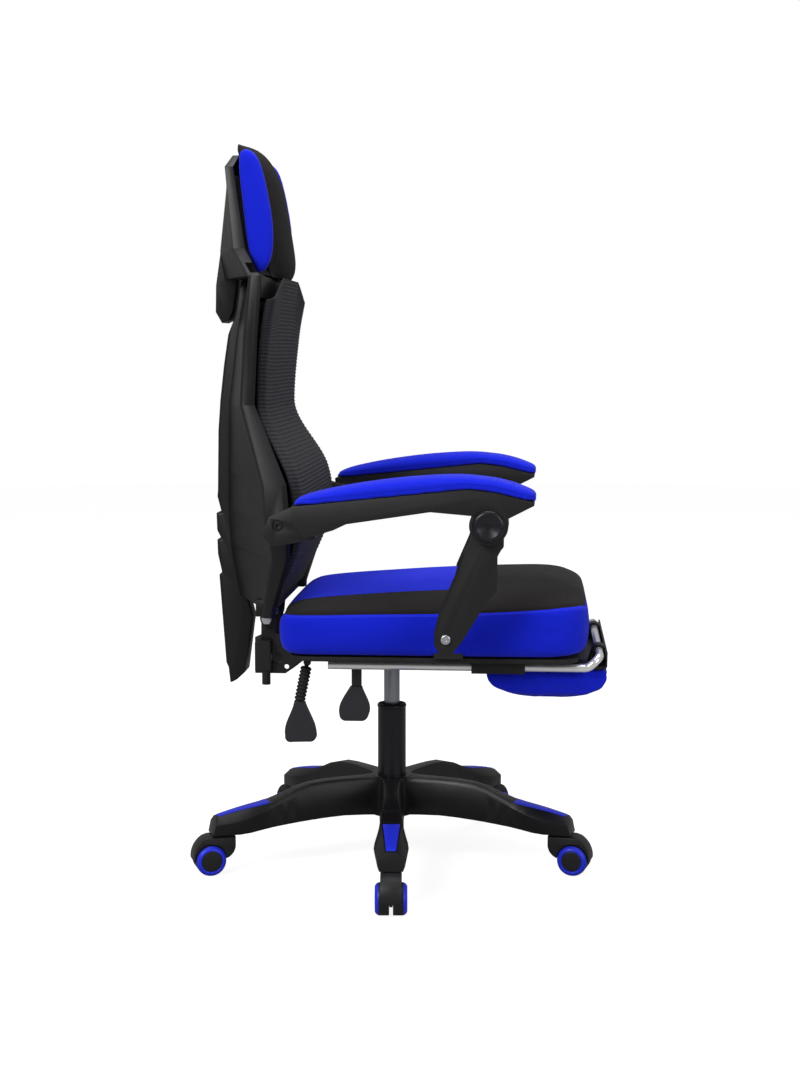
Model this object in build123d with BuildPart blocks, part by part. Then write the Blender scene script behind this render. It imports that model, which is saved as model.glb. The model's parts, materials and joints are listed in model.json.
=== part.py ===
"""Gaming chair with a reclining mesh back, linked arms and a pull-out footrest.

Millimetres, +Z up, floor at z = 0, origin under the lift column.
The chair faces -Y, so the sitter's right hand is on the -X side.
"""
from build123d import *
import math
import os

os.makedirs("parts", exist_ok=True)

# ---------------------------------------------------------------- driving dimensions
# Base and casters
LEG_COUNT = 5
BASE_TURN = 184.3          # heading of the first leg, degrees from +X
PIVOT_RADIUS = 314.0       # caster stems from the column axis
HUB_RADIUS = 38.0
HUB_BOTTOM = 82.0
HUB_TOP = 152.0
LEG_FOOT_Z = 70.0          # flat seat of the caster stem under the leg's end
LEG_END_RADIUS = 331.0
WALL = 3.5                 # moulded wall of the hollow legs
WHEEL_RADIUS = 26.5
WHEEL_TRAIL = 21.0
WHEEL_HALF_TRACK = 26.5    # half of the twin wheels' overall width
HOOD_HALF_WIDTH = 17.5
HOOD_TOP = 68.5
STEM_RADIUS = 5.5
AXLE_RADIUS = 4.0
RUNNING = 0.06             # radial clearance of pins that turn

# Gas lift
TUBE_RADIUS = 25.0
TUBE_BOTTOM = 86.0
TUBE_TOP = 281.0
CYLINDER_RADIUS = 14.0
CYLINDER_BOTTOM = 156.0
CYLINDER_TOP = 380.0
SOCKET_BOTTOM = 352.0      # where the cylinder's cone enters the mechanism
PISTON_ROD_RADIUS = 4.0

# Seat
SEAT_HALF_WIDTH = 250.0
SEAT_FRONT = -345.0
SEAT_REAR = 174.0
SEAT_BOTTOM = 403.0
SEAT_CROWN = 528.0
BOARD_THICKNESS = 8.0
PLATE_TOP = SEAT_BOTTOM - BOARD_THICKNESS      # steel plates are bolted up to this face
PLATE = 3.5

# Side linkage, in the chair's YZ plane
HINGE = (214.0, 440.0)     # back hinge pin
ARM_PIVOT = (160.0, 627.0)
KNOB = (-180.0, 634.0)
STRUT_FOOT = (-112.0, 450.0)
ARM_OUTER = 345.0
ARM_INNER = 285.0
STRUT_OUTER = 327.0
STRUT_INNER = 303.0
BOLT_RADIUS = 5.0
OPEN_PIVOT_PLAY = 1.5      # radial play of the knob bolt in the arm shell

# Footrest
RAIL_X = 200.0
RAIL_Z = 384.0
RAIL_RADIUS = 7.0
RAIL_REAR = 91.0
RAIL_BEND = -342.0          # where the rail turns up to its crossbar
CROSSBAR = (-362.0, 402.0)
GUIDE_FRONT = -238.0
GUIDE_REAR = -149.0
FOOT_HALF_WIDTH = 186.0

# Back and head
SPINE_HALF_WIDTH = 24.5
SHOULDER_Z = 1030.0
LEVER_X = -172.0


# ---------------------------------------------------------------- small helpers
def side_plane(x):
    """Plane at x whose sketch axes are the chair's Y and Z; it extrudes along +X."""
    return Plane(origin=(x, 0, 0), x_dir=(0, 1, 0), z_dir=(1, 0, 0))


def radial_plane(radius):
    """Plane across a leg that points along +X, at a radius; sketch axes Y and Z."""
    return Plane(origin=(radius, 0, 0), x_dir=(0, 1, 0), z_dir=(1, 0, 0))


def between(stations, value):
    """Row of a station table at a value of its first column, by straight interpolation."""
    for low, high in zip(stations, stations[1:]):
        if low[0] <= value <= high[0]:
            share = (value - low[0]) / (high[0] - low[0])
            return tuple(a + share * (b - a) for a, b in zip(low, high))
    raise ValueError("value outside the table")


def rates(low, high):
    """Rate of change of each column between two rows of a station table."""
    return tuple((b - a) / (high[0] - low[0]) for a, b in zip(low, high))


def slopes(stations, index):
    """Slope of each column at a row of a station table, level where the column turns."""
    last = len(stations) - 1
    before = max(index, 1)
    after = min(index, last - 1)
    pairs = zip(rates(stations[before - 1], stations[before]), rates(stations[after], stations[after + 1]))
    return tuple(2 * a * b / (a + b) if a * b > 0 else 0.0 for a, b in pairs)


def smooth_row(stations, value):
    """Row of a station table at a value of its first column, on a smooth curve through its rows."""
    index = max(row for row in range(len(stations) - 1) if stations[row][0] <= value)
    low, high = stations[index], stations[index + 1]
    span = high[0] - low[0]
    share = (value - low[0]) / span
    blend = share * share * (3 - 2 * share)
    leave = span * share * (1 - share) ** 2
    arrive = span * share * share * (1 - share)
    columns = zip(low, high, slopes(stations, index), slopes(stations, index + 1))
    return tuple(a + blend * (b - a) + leave * m - arrive * n for a, b, m, n in columns)


def leg_heading(index):
    """Placement that turns a leg or caster made along +X to its place in the star."""
    return Location((0, 0, 0), (0, 0, BASE_TURN + index * 360 / LEG_COUNT))


# ---------------------------------------------------------------- five-star base
# radius, top half width, top z, edge half width, edge z, foot half width, foot z
LEG_STATIONS = (
    (20, 17, 151, 20, 141, 23, 84),
    (95, 11, 151, 15, 144, 21, 88),
    (155, 11, 147, 15, 139, 21, 85),
    (225, 17, 121, 21, 113, 22, 78),
    (284, 13, 109.5, 29, 95, 24, LEG_FOOT_Z),
    (336, 8, 97, 21, 88, 19, LEG_FOOT_Z),
)
LEG_RADII = (20, 58, 95, 125, 155, 179, 202, 225, 245, 265, 284, 302, 320, 336)
CAVITY_RADII = (46, 95, 125, 155, 190, 225, 255, 284, 297)
RIB_RADII = (90, 140, 190, 240)


def leg_outline(radius, inset=0.0, drop=0.0, foot_drop=0.0):
    """Six corners of a leg's section, drawn in by an inset; sketch axes Y and Z."""
    _, top, top_z, edge, edge_z, foot, foot_z = smooth_row(LEG_STATIONS, radius)
    right = (
        (foot - inset, foot_z - foot_drop),
        (edge - inset, edge_z - drop),
        (top - inset, top_z - drop),
    )
    left = tuple((-y, z) for y, z in reversed(right))
    return right + left


with BuildPart() as leg:
    for radius in LEG_RADII:
        with BuildSketch(radial_plane(radius)):
            Polygon(*leg_outline(radius), align=None)
    loft(ruled=True)
    for radius in CAVITY_RADII:
        with BuildSketch(radial_plane(radius)):
            Polygon(*leg_outline(radius, inset=WALL, drop=WALL + 1, foot_drop=6), align=None)
    loft(ruled=True, mode=Mode.SUBTRACT)
    for radius in RIB_RADII:
        with BuildSketch(radial_plane(radius)):
            Polygon(*leg_outline(radius, inset=1, drop=1, foot_drop=-1), align=None)
        extrude(amount=3)
    # The end face leans out towards its foot.
    split(bisect_by=Plane(origin=(LEG_END_RADIUS, 0, 73), x_dir=(0, 1, 0), z_dir=(27, 0, 7)),
          keep=Keep.BOTTOM)

INSERT_RADII = (229, 245, 265, 284, 302, 320)
INSERT_HALF_WIDTHS = (14.5, 8.0)   # at the inner and the outer end
INSERT_PROUD = 1.2
INSERT_DEPTH = 2.0


def insert_body(grow):
    """Tapered plate that follows the top of a leg near its end."""
    with BuildPart() as body:
        for radius in INSERT_RADII:
            share = (radius - INSERT_RADII[0]) / (INSERT_RADII[-1] - INSERT_RADII[0])
            half_width = INSERT_HALF_WIDTHS[0] + share * (INSERT_HALF_WIDTHS[1] - INSERT_HALF_WIDTHS[0])
            top_z = smooth_row(LEG_STATIONS, radius)[2]
            with BuildSketch(radial_plane(radius)):
                with Locations((0, top_z - INSERT_DEPTH - grow)):
                    Rectangle(2 * (half_width + grow), INSERT_DEPTH + INSERT_PROUD + 4 * grow,
                              align=(Align.CENTER, Align.MIN))
        loft(ruled=True)
    return body.part


insert_solid = insert_body(0.0)
insert_pocket = insert_body(0.1)

with BuildPart() as five_star_base:
    with Locations((0, 0, HUB_BOTTOM)):
        Cylinder(HUB_RADIUS, HUB_TOP - HUB_BOTTOM, align=(Align.CENTER, Align.CENTER, Align.MIN))
    fillet(five_star_base.edges().group_by(Axis.Z)[-1], 3)
    for index in range(LEG_COUNT):
        with Locations(leg_heading(index)):
            add(leg.part)
    for index in range(LEG_COUNT):
        with Locations(leg_heading(index)):
            add(insert_pocket, mode=Mode.SUBTRACT)
    # Caster sockets, blind from below.
    with Locations((0, 0, LEG_FOOT_Z - 1)):
        with PolarLocations(PIVOT_RADIUS, LEG_COUNT, start_angle=BASE_TURN):
            Cylinder(STEM_RADIUS, 25.5, align=(Align.CENTER, Align.CENTER, Align.MIN), mode=Mode.SUBTRACT)
    # Tapered hub socket for the column.
    with BuildSketch(Plane.XZ):
        Polygon((0, 78), (24.3, 78), (24.3, TUBE_BOTTOM), (25.05, 150), (25.05, 160), (0, 160), align=None)
    revolve(axis=Axis.Z, mode=Mode.SUBTRACT)
five_star_base.part.label = "five_star_base"
export_step(five_star_base.part, "parts/five_star_base.step")

with BuildPart() as base_inserts:
    for index in range(LEG_COUNT):
        with Locations(leg_heading(index)):
            add(insert_solid)
base_inserts.part.label = "base_inserts"
export_step(base_inserts.part, "parts/base_inserts.step")

# ---------------------------------------------------------------- casters
STEM_BOTTOM = 48.8
with BuildPart() as caster_stems:
    with Locations((0, 0, STEM_BOTTOM)):
        with PolarLocations(PIVOT_RADIUS, LEG_COUNT, start_angle=BASE_TURN):
            Cylinder(STEM_RADIUS, 94 - STEM_BOTTOM, align=(Align.CENTER, Align.CENTER, Align.MIN))
    with Locations((0, 0, HOOD_TOP + 0.4)):
        with PolarLocations(PIVOT_RADIUS, LEG_COUNT, start_angle=BASE_TURN):
            Cylinder(10, LEG_FOOT_Z - HOOD_TOP - 0.4, align=(Align.CENTER, Align.CENTER, Align.MIN))
caster_stems.part.label = "caster_stems"
export_step(caster_stems.part, "parts/caster_stems.step")

AXLE_X = PIVOT_RADIUS + WHEEL_TRAIL
AXLE_LINE = Axis((AXLE_X, 0, WHEEL_RADIUS), (0, 1, 0))
WEB_HALF = 2.5
HOOD_CLEARANCE = 1.2
WHEEL_INNER = WEB_HALF + 0.6
AXLE_HALF_LENGTH = 20.0

with BuildPart() as hood_shape:
    with BuildSketch(Plane(origin=(PIVOT_RADIUS, 0, 0), x_dir=(1, 0, 0), z_dir=(0, -1, 0))):
        with BuildLine():
            Line((-21, HOOD_TOP), (22, HOOD_TOP))
            ThreePointArc((22, HOOD_TOP), (42.5, 54), (50.5, 27))
            Polyline((50.5, 27), (47, 21), (30, 15), (12, 15), (-8, 29))
            ThreePointArc((-8, 29), (-19, 38), (-23, 50))
            Polyline((-23, 50), (-23, 66.5), (-21, HOOD_TOP))
        make_face()
    extrude(amount=HOOD_HALF_WIDTH, both=True)
    chamfer(hood_shape.faces().sort_by(Axis.Z)[-1].edges().filter_by(Axis.X), 4)
    for side in (-1, 1):
        with BuildSketch(Plane.XZ.offset(side * WEB_HALF)):
            with Locations((AXLE_X, WHEEL_RADIUS)):
                Circle(WHEEL_RADIUS + HOOD_CLEARANCE)
        extrude(amount=side * HOOD_HALF_WIDTH, mode=Mode.SUBTRACT)
    with Locations((PIVOT_RADIUS, 0, STEM_BOTTOM - 0.5)):
        Cylinder(STEM_RADIUS + RUNNING, 30, align=(Align.CENTER, Align.CENTER, Align.MIN), mode=Mode.SUBTRACT)
    with BuildSketch(Plane.XZ.offset(-WEB_HALF)):
        with Locations((AXLE_X, WHEEL_RADIUS)):
            Circle(AXLE_RADIUS)
    extrude(amount=2 * WEB_HALF, mode=Mode.SUBTRACT)

with BuildPart() as axle_shape:
    with BuildSketch(Plane.XZ):
        with Locations((AXLE_X, WHEEL_RADIUS)):
            Circle(AXLE_RADIUS)
    extrude(amount=AXLE_HALF_LENGTH, both=True)
    chamfer(axle_shape.edges().filter_by(GeomType.CIRCLE), 0.6)

# Wheel profile: distance along the axle from the caster's middle, and radius.
CAP_RADIUS = 17.4
RING_INNER = 18.4
with BuildPart() as wheel_shape:
    with BuildSketch(Plane(origin=(AXLE_X, 0, WHEEL_RADIUS), x_dir=(0, 1, 0), z_dir=(1, 0, 0))):
        with BuildLine():
            Polyline(
                (WHEEL_INNER, AXLE_RADIUS + RUNNING), (WHEEL_INNER, 9), (7, 10), (7, 22), (WHEEL_INNER, 23),
                (WHEEL_INNER, WHEEL_RADIUS - 0.8), (WHEEL_INNER + 0.8, WHEEL_RADIUS), (18, WHEEL_RADIUS),
            )
            ThreePointArc((18, WHEEL_RADIUS), (23.8, 24.2), (WHEEL_HALF_TRACK, 19.6))
            Polyline(
                (WHEEL_HALF_TRACK, 19.6), (25.8, RING_INNER), (24.6, RING_INNER), (24.6, CAP_RADIUS),
                (25.4, CAP_RADIUS - 0.8), (25.4, 0), (AXLE_HALF_LENGTH + 0.5, 0),
                (AXLE_HALF_LENGTH + 0.5, AXLE_RADIUS + RUNNING), (WHEEL_INNER, AXLE_RADIUS + RUNNING),
            )
        make_face()
    revolve(axis=AXLE_LINE)

for index in range(LEG_COUNT):
    number = index + 1
    with BuildPart() as caster_hood:
        with Locations(leg_heading(index)):
            add(hood_shape.part)
    caster_hood.part.label = f"caster_hood_{number}"
    export_step(caster_hood.part, f"parts/caster_hood_{number}.step")

    with BuildPart() as caster_axle:
        with Locations(leg_heading(index)):
            add(axle_shape.part)
    caster_axle.part.label = f"caster_axle_{number}"
    export_step(caster_axle.part, f"parts/caster_axle_{number}.step")

    with BuildPart() as caster_wheel_a:
        with Locations(leg_heading(index)):
            add(wheel_shape.part)
    caster_wheel_a.part.label = f"caster_wheel_{number}a"
    export_step(caster_wheel_a.part, f"parts/caster_wheel_{number}a.step")

    with BuildPart() as other_wheel:
        mirror(wheel_shape.part, about=Plane.XZ)
    with BuildPart() as caster_wheel_b:
        with Locations(leg_heading(index)):
            add(other_wheel.part)
    caster_wheel_b.part.label = f"caster_wheel_{number}b"
    export_step(caster_wheel_b.part, f"parts/caster_wheel_{number}b.step")

# ---------------------------------------------------------------- gas lift
TUBE_BORE = 22.8
FLOOR_PLATE = 6.0
with BuildPart() as column_tube:
    with BuildSketch(Plane.XZ):
        with BuildLine():
            Polyline((4.5, TUBE_BOTTOM), (24.2, TUBE_BOTTOM), (TUBE_RADIUS, 150), (TUBE_RADIUS, 274))
            ThreePointArc((TUBE_RADIUS, 274), (25.9, 278.5), (24.4, TUBE_TOP))
            Polyline(
                (24.4, TUBE_TOP), (23.6, TUBE_TOP), (TUBE_BORE, 279.5),
                (TUBE_BORE, TUBE_BOTTOM + FLOOR_PLATE),
                (4.5, TUBE_BOTTOM + FLOOR_PLATE), (4.5, TUBE_BOTTOM),
            )
        make_face()
    revolve(axis=Axis.Z)
column_tube.part.label = "column_tube"
export_step(column_tube.part, "parts/column_tube.step")

with BuildPart() as column_bushing:
    with BuildSketch(Plane.XZ):
        Polygon(
            (CYLINDER_RADIUS + RUNNING, 200), (TUBE_BORE - 0.1, 200), (TUBE_BORE - 0.1, 279),
            (20, 279), (18, 277), (CYLINDER_RADIUS + RUNNING, 277), align=None,
        )
    revolve(axis=Axis.Z)
column_bushing.part.label = "column_bushing"
export_step(column_bushing.part, "parts/column_bushing.step")

BEARING_BOTTOM = TUBE_BOTTOM + FLOOR_PLATE
with BuildPart() as thrust_bearing:
    # Lower washer, ball cage, upper washer, and the clip under the tube's floor.
    for bottom, height, inner, outer in (
        (BEARING_BOTTOM, 2.0, 4.3, 11.0),
        (BEARING_BOTTOM + 2.05, 1.9, 5.2, 10.2),
        (BEARING_BOTTOM + 4.0, 2.0, 4.3, 11.0),
        (TUBE_BOTTOM - 1.5, 1.5, 4.3, 8.0),
    ):
        with BuildSketch(Plane.XY.offset(bottom)):
            Circle(outer)
            Circle(inner, mode=Mode.SUBTRACT)
        extrude(amount=height)
thrust_bearing.part.label = "thrust_bearing"
export_step(thrust_bearing.part, "parts/thrust_bearing.step")

ROD_COLLAR = BEARING_BOTTOM + 6.3
PISTON_BOTTOM = 226.0
with BuildPart() as piston_rod:
    for bottom, height, radius in (
        (TUBE_BOTTOM - 3.0, PISTON_BOTTOM - TUBE_BOTTOM + 3.0, PISTON_ROD_RADIUS),
        (ROD_COLLAR, 2.0, 6.5),
        (PISTON_BOTTOM, 10.0, CYLINDER_RADIUS - 2.1),
    ):
        with BuildSketch(Plane.XY.offset(bottom)):
            Circle(radius)
        extrude(amount=height)
piston_rod.part.label = "piston_rod"
export_step(piston_rod.part, "parts/piston_rod.step")

CYLINDER_BORE = CYLINDER_RADIUS - 2.0
CONE_TOP_RADIUS = 13.3
VALVE_RADIUS = 3.0
with BuildPart() as gas_cylinder:
    with BuildSketch(Plane.XZ):
        Polygon(
            (PISTON_ROD_RADIUS + 0.1, CYLINDER_BOTTOM), (CYLINDER_RADIUS, CYLINDER_BOTTOM),
            (CYLINDER_RADIUS, SOCKET_BOTTOM), (CONE_TOP_RADIUS, CYLINDER_TOP),
            (VALVE_RADIUS + RUNNING, CYLINDER_TOP), (VALVE_RADIUS + RUNNING, 355), (0, 355), (0, 345),
            (CYLINDER_BORE, 345), (CYLINDER_BORE, CYLINDER_BOTTOM + 4),
            (PISTON_ROD_RADIUS + 0.1, CYLINDER_BOTTOM + 4), align=None,
        )
    revolve(axis=Axis.Z)
gas_cylinder.part.label = "gas_cylinder"
export_step(gas_cylinder.part, "parts/gas_cylinder.step")

VALVE_TOP = 384.0
with BuildPart() as valve_pin:
    with BuildSketch(Plane.XY.offset(362)):
        Circle(VALVE_RADIUS)
    extrude(amount=VALVE_TOP - 362)
    fillet(valve_pin.edges().group_by(Axis.Z)[-1], 0.8)
valve_pin.part.label = "valve_pin"
export_step(valve_pin.part, "parts/valve_pin.step")

# ---------------------------------------------------------------- seat mechanism
MECH_HALF_X = 72.0
MECH_WALL_Y = 60.0
MECH_FLOOR = 354.0
LEVER_PIVOT = (-60.0, 387.0)       # x and z of the lift lever's cross rod
LEVER_ROD_RADIUS = 4.0
MECH_BOLTS = (80.0, 84.0)          # half spacings of the four bolts
with BuildPart() as seat_mechanism:
    with BuildSketch(Plane.XY.offset(PLATE_TOP - PLATE)):
        RectangleRounded(196, 200, 14)
        with GridLocations(2 * MECH_BOLTS[0], 2 * MECH_BOLTS[1], 2, 2):
            Circle(4.3, mode=Mode.SUBTRACT)
        Circle(16, mode=Mode.SUBTRACT)
    extrude(amount=PLATE)
    with BuildSketch(Plane.XY.offset(MECH_FLOOR)):
        Rectangle(2 * MECH_HALF_X, 2 * MECH_WALL_Y + 8)
    extrude(amount=4)
    for side in (-1, 1):
        with Locations((0, side * (MECH_WALL_Y + 2), MECH_FLOOR)):
            Box(2 * MECH_HALF_X, 4, PLATE_TOP - PLATE - MECH_FLOOR,
                align=(Align.CENTER, Align.CENTER, Align.MIN))
    with BuildSketch(Plane.XY.offset(SOCKET_BOTTOM)):
        Circle(23)
    extrude(amount=CYLINDER_TOP - SOCKET_BOTTOM)
    with BuildSketch(Plane.XZ):
        Polygon((0, SOCKET_BOTTOM - 1), (CYLINDER_RADIUS + 0.05, SOCKET_BOTTOM - 1),
                (CONE_TOP_RADIUS + 0.04, CYLINDER_TOP + 1), (0, CYLINDER_TOP + 1), align=None)
    revolve(axis=Axis.Z, mode=Mode.SUBTRACT)
    with BuildSketch(Plane.XZ.offset(-MECH_WALL_Y - 10)):
        with Locations(LEVER_PIVOT):
            Circle(LEVER_ROD_RADIUS + RUNNING)
    extrude(amount=2 * MECH_WALL_Y + 20, mode=Mode.SUBTRACT)
seat_mechanism.part.label = "seat_mechanism"
export_step(seat_mechanism.part, "parts/seat_mechanism.step")

# ---------------------------------------------------------------- lift lever
LIFT_Y = 46.0
BAR_WIDTH = 17.0
with BuildPart() as lift_lever_arm:
    # Cross rod, inner nose over the valve pin, outer bar bent down to the paddle.
    with BuildSketch(Plane.XZ.offset(-MECH_WALL_Y - 3)):
        with Locations(LEVER_PIVOT):
            Circle(LEVER_ROD_RADIUS)
    extrude(amount=2 * MECH_WALL_Y + 6)
    with BuildSketch(Plane.XY.offset(VALVE_TOP + 1)):
        with Locations((LEVER_PIVOT[0] / 2 + 1.5, 0)):
            Rectangle(-LEVER_PIVOT[0] + 3, 12)
    extrude(amount=4)
    with BuildSketch(Plane.XZ.offset(-LIFT_Y + BAR_WIDTH / 2)):
        Polygon(
            (LEVER_PIVOT[0], 385), (LEVER_X - 1, 385), (LEVER_X - 2, 384), (LEVER_X - 2, 322),
            (LEVER_X + 2, 322), (LEVER_X + 2, 381), (LEVER_PIVOT[0], 381), align=None,
        )
    extrude(amount=-BAR_WIDTH)
lift_lever_arm.part.label = "lift_lever_arm"
export_step(lift_lever_arm.part, "parts/lift_lever_arm.step")

PADDLE_HALF = 6.0
with BuildPart() as lift_paddle:
    with BuildSketch(side_plane(LEVER_X - PADDLE_HALF)):
        with BuildLine():
            Line((57, 343), (37, 343))
            Spline((37, 343), (31, 328), (24, 309), (26, 294))
            ThreePointArc((26, 294), (30, 287), (38, 284))
            Line((38, 284), (64, 284))
            ThreePointArc((64, 284), (72, 287), (75, 294))
            Spline((75, 294), (75, 309), (65, 330), (57, 343))
        make_face()
    extrude(amount=2 * PADDLE_HALF)
    chamfer(lift_paddle.faces().sort_by(Axis.X)[0].edges(), 1.5)
    # Slot that the bar is pushed into.
    with Locations((LEVER_X, LIFT_Y, 321.5)):
        Box(4.1, BAR_WIDTH + 0.1, 40, align=(Align.CENTER, Align.CENTER, Align.MIN), mode=Mode.SUBTRACT)
lift_paddle.part.label = "lift_paddle"
export_step(lift_paddle.part, "parts/lift_paddle.step")

# ---------------------------------------------------------------- recline bracket and hinge
BRACKET_X = 47.0
BRACKET_PLATE = 4.0
BRACKET_FRONT = 101.0
BRACKET_BOLT_X = 28.0
BRACKET_BOLT_Y = 150.0
SHAFT = (130.0, 383.0)             # y and z of the recline lever's shaft
SHAFT_RADIUS = 5.0
PIN_RADIUS = 6.0
with BuildPart() as recline_bracket:
    for side in (-1, 1):
        with BuildSketch(side_plane(side * (BRACKET_X + BRACKET_PLATE / 2) - BRACKET_PLATE / 2)):
            Polygon(
                (BRACKET_FRONT, PLATE_TOP), (BRACKET_FRONT, 374), (140, 374), (168, 352), (184, 341),
                (238, 341), (238, 405), (227, 410), (226.5, HINGE[1]), (201.5, HINGE[1]), (201.5, 412),
                (182, 404), (178, PLATE_TOP), align=None,
            )
            with Locations(HINGE):
                Circle(12.5)
                Circle(PIN_RADIUS, mode=Mode.SUBTRACT)
            with Locations(SHAFT):
                Circle(SHAFT_RADIUS + RUNNING, mode=Mode.SUBTRACT)
            with Locations((198, 370)):
                Circle(8.5, mode=Mode.SUBTRACT)
            with Locations((182, 353)):
                Circle(4.2, mode=Mode.SUBTRACT)
        extrude(amount=BRACKET_PLATE)
    with BuildSketch(Plane.XY.offset(PLATE_TOP - PLATE)):
        with Locations((0, BRACKET_FRONT)):
            Rectangle(2 * BRACKET_X, 178 - BRACKET_FRONT, align=(Align.CENTER, Align.MIN))
        with Locations((-BRACKET_BOLT_X, BRACKET_BOLT_Y), (BRACKET_BOLT_X, BRACKET_BOLT_Y)):
            Circle(4.3, mode=Mode.SUBTRACT)
    extrude(amount=PLATE)
recline_bracket.part.label = "recline_bracket"
export_step(recline_bracket.part, "parts/recline_bracket.step")

LOCK_INNER = -(BRACKET_X + BRACKET_PLATE)
with BuildPart() as recline_lock:
    with BuildSketch(side_plane(LOCK_INNER)):
        Polygon((207, 347), (236, 347), (236, 398), (231, 402), (207, 402), align=None)
    extrude(amount=-18)
    chamfer(recline_lock.faces().sort_by(Axis.X)[0].edges(), 2)
    with BuildSketch(Plane.XY.offset(323)):
        with Locations((LOCK_INNER - 9, 217)):
            Circle(7.5)
    extrude(amount=26)
recline_lock.part.label = "recline_lock"
export_step(recline_lock.part, "parts/recline_lock.step")

PIN_HALF_LENGTH = 70.0
with BuildPart() as hinge_pin:
    with BuildSketch(side_plane(-PIN_HALF_LENGTH)):
        with Locations(HINGE):
            Circle(PIN_RADIUS)
    extrude(amount=2 * PIN_HALF_LENGTH)
    for x in (-PIN_HALF_LENGTH - 4, PIN_HALF_LENGTH):
        with BuildSketch(side_plane(x)):
            with Locations(HINGE):
                RegularPolygon(9.5, 6)
        extrude(amount=4)
hinge_pin.part.label = "hinge_pin"
export_step(hinge_pin.part, "parts/hinge_pin.step")

# ---------------------------------------------------------------- recline lever
ROD_TOP = (130.0, 383.0)
ROD_FOOT = (143.0, 318.0)
ROD_RADIUS = 3.5
HANG = Plane(
    origin=(LEVER_X, ROD_TOP[0], ROD_TOP[1]),
    x_dir=(1, 0, 0),
    z_dir=(0, ROD_FOOT[0] - ROD_TOP[0], ROD_FOOT[1] - ROD_TOP[1]),
)
HANG_LENGTH = math.hypot(ROD_FOOT[0] - ROD_TOP[0], ROD_FOOT[1] - ROD_TOP[1])
with BuildPart() as recline_lever_arm:
    with BuildSketch(side_plane(LEVER_X)):
        with Locations(SHAFT):
            Circle(SHAFT_RADIUS)
    extrude(amount=BRACKET_X + 8 - LEVER_X)
    with BuildSketch(HANG):
        Circle(ROD_RADIUS)
    extrude(amount=HANG_LENGTH + 14)
    with Locations((LEVER_X, ROD_TOP[0], ROD_TOP[1])):
        Sphere(6.5)
recline_lever_arm.part.label = "recline_lever_arm"
export_step(recline_lever_arm.part, "parts/recline_lever_arm.step")

BELLOWS_FOLDS = 9
BELLOWS_START = 8.0
BELLOWS_LENGTH = HANG_LENGTH - BELLOWS_START
fold = BELLOWS_LENGTH / BELLOWS_FOLDS
with BuildPart() as recline_bellows:
    with BuildSketch(Plane(origin=HANG.origin, x_dir=HANG.x_dir, z_dir=HANG.x_dir.cross(HANG.z_dir))):
        with BuildLine():
            corners = [(ROD_RADIUS + 0.2, BELLOWS_START), (7.4, BELLOWS_START)]
            for turn in range(BELLOWS_FOLDS):
                top = BELLOWS_START + turn * fold
                corners.append((9.6, top + fold * 0.35))
                corners.append((9.6, top + fold * 0.65))
                corners.append((7.4, top + fold))
            corners.append((ROD_RADIUS + 0.2, BELLOWS_START + BELLOWS_LENGTH))
            Polyline(*corners, close=True)
        make_face()
    revolve(axis=Axis(HANG.origin, HANG.z_dir))
recline_bellows.part.label = "recline_bellows"
export_step(recline_bellows.part, "parts/recline_bellows.step")

with BuildPart() as recline_paddle:
    with BuildSketch(side_plane(LEVER_X - PADDLE_HALF)):
        with BuildLine():
            Line((152, 317.5), (134, 315.5))
            Spline((134, 315.5), (128, 300), (118, 277), (115, 262))
            ThreePointArc((115, 262), (117, 251), (127, 247))
            Line((127, 247), (156, 246))
            ThreePointArc((156, 246), (165, 248), (168, 257))
            Spline((168, 257), (167, 275), (158, 298), (152, 317.5))
        make_face()
    extrude(amount=2 * PADDLE_HALF)
    chamfer(recline_paddle.faces().sort_by(Axis.X)[0].edges(), 1.5)
    with BuildSketch(HANG):
        Circle(ROD_RADIUS + 0.05)
    extrude(amount=HANG_LENGTH + 14.5, mode=Mode.SUBTRACT)
recline_paddle.part.label = "recline_paddle"
export_step(recline_paddle.part, "parts/recline_paddle.step")

# ---------------------------------------------------------------- seat
SEAT_LENGTH = SEAT_REAR - SEAT_FRONT
SEAT_MIDDLE = (SEAT_REAR + SEAT_FRONT) / 2
with BuildPart() as seat_board:
    with BuildSketch(Plane.XY.offset(PLATE_TOP)):
        with Locations((0, SEAT_MIDDLE)):
            RectangleRounded(2 * SEAT_HALF_WIDTH - 36, SEAT_LENGTH - 36, 40)
    extrude(amount=BOARD_THICKNESS)
seat_board.part.label = "seat_board"
export_step(seat_board.part, "parts/seat_board.step")

LUG_INNER = 236.0
LUG_OUTER = 240.0
SPACER_OUTER = 290.0
SPACER_RADIUS = 11.0
BRACKET_HALF_WIDTH = 24.0
BRACKET_HEIGHT = 72.0
POCKET_GAP = 0.5
with BuildPart() as seat_cushion:
    with BuildSketch(Plane.XY.offset(SEAT_BOTTOM)):
        with Locations((0, SEAT_MIDDLE)):
            RectangleRounded(2 * SEAT_HALF_WIDTH, SEAT_LENGTH, 52)
    extrude(amount=SEAT_CROWN - SEAT_BOTTOM)
    fillet(seat_cushion.edges().group_by(Axis.Z)[-1], 48)
    fillet(seat_cushion.edges().group_by(Axis.Z)[0], 10)
    # Pockets for the strut brackets, and the holes of their spacer tubes.
    for side in (-1, 1):
        with Locations((side * (200 + LUG_OUTER) / 2, STRUT_FOOT[0], SEAT_BOTTOM - 1)):
            Box(LUG_OUTER - 200 + 2 * POCKET_GAP, 2 * (BRACKET_HALF_WIDTH + POCKET_GAP),
                BRACKET_HEIGHT + 1 + POCKET_GAP, align=(Align.CENTER, Align.CENTER, Align.MIN),
                mode=Mode.SUBTRACT)
        with BuildSketch(side_plane(side * LUG_OUTER)):
            with Locations(STRUT_FOOT):
                Circle(SPACER_RADIUS + POCKET_GAP)
        extrude(amount=side * 20, mode=Mode.SUBTRACT)
seat_cushion.part.label = "seat_cushion"
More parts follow.
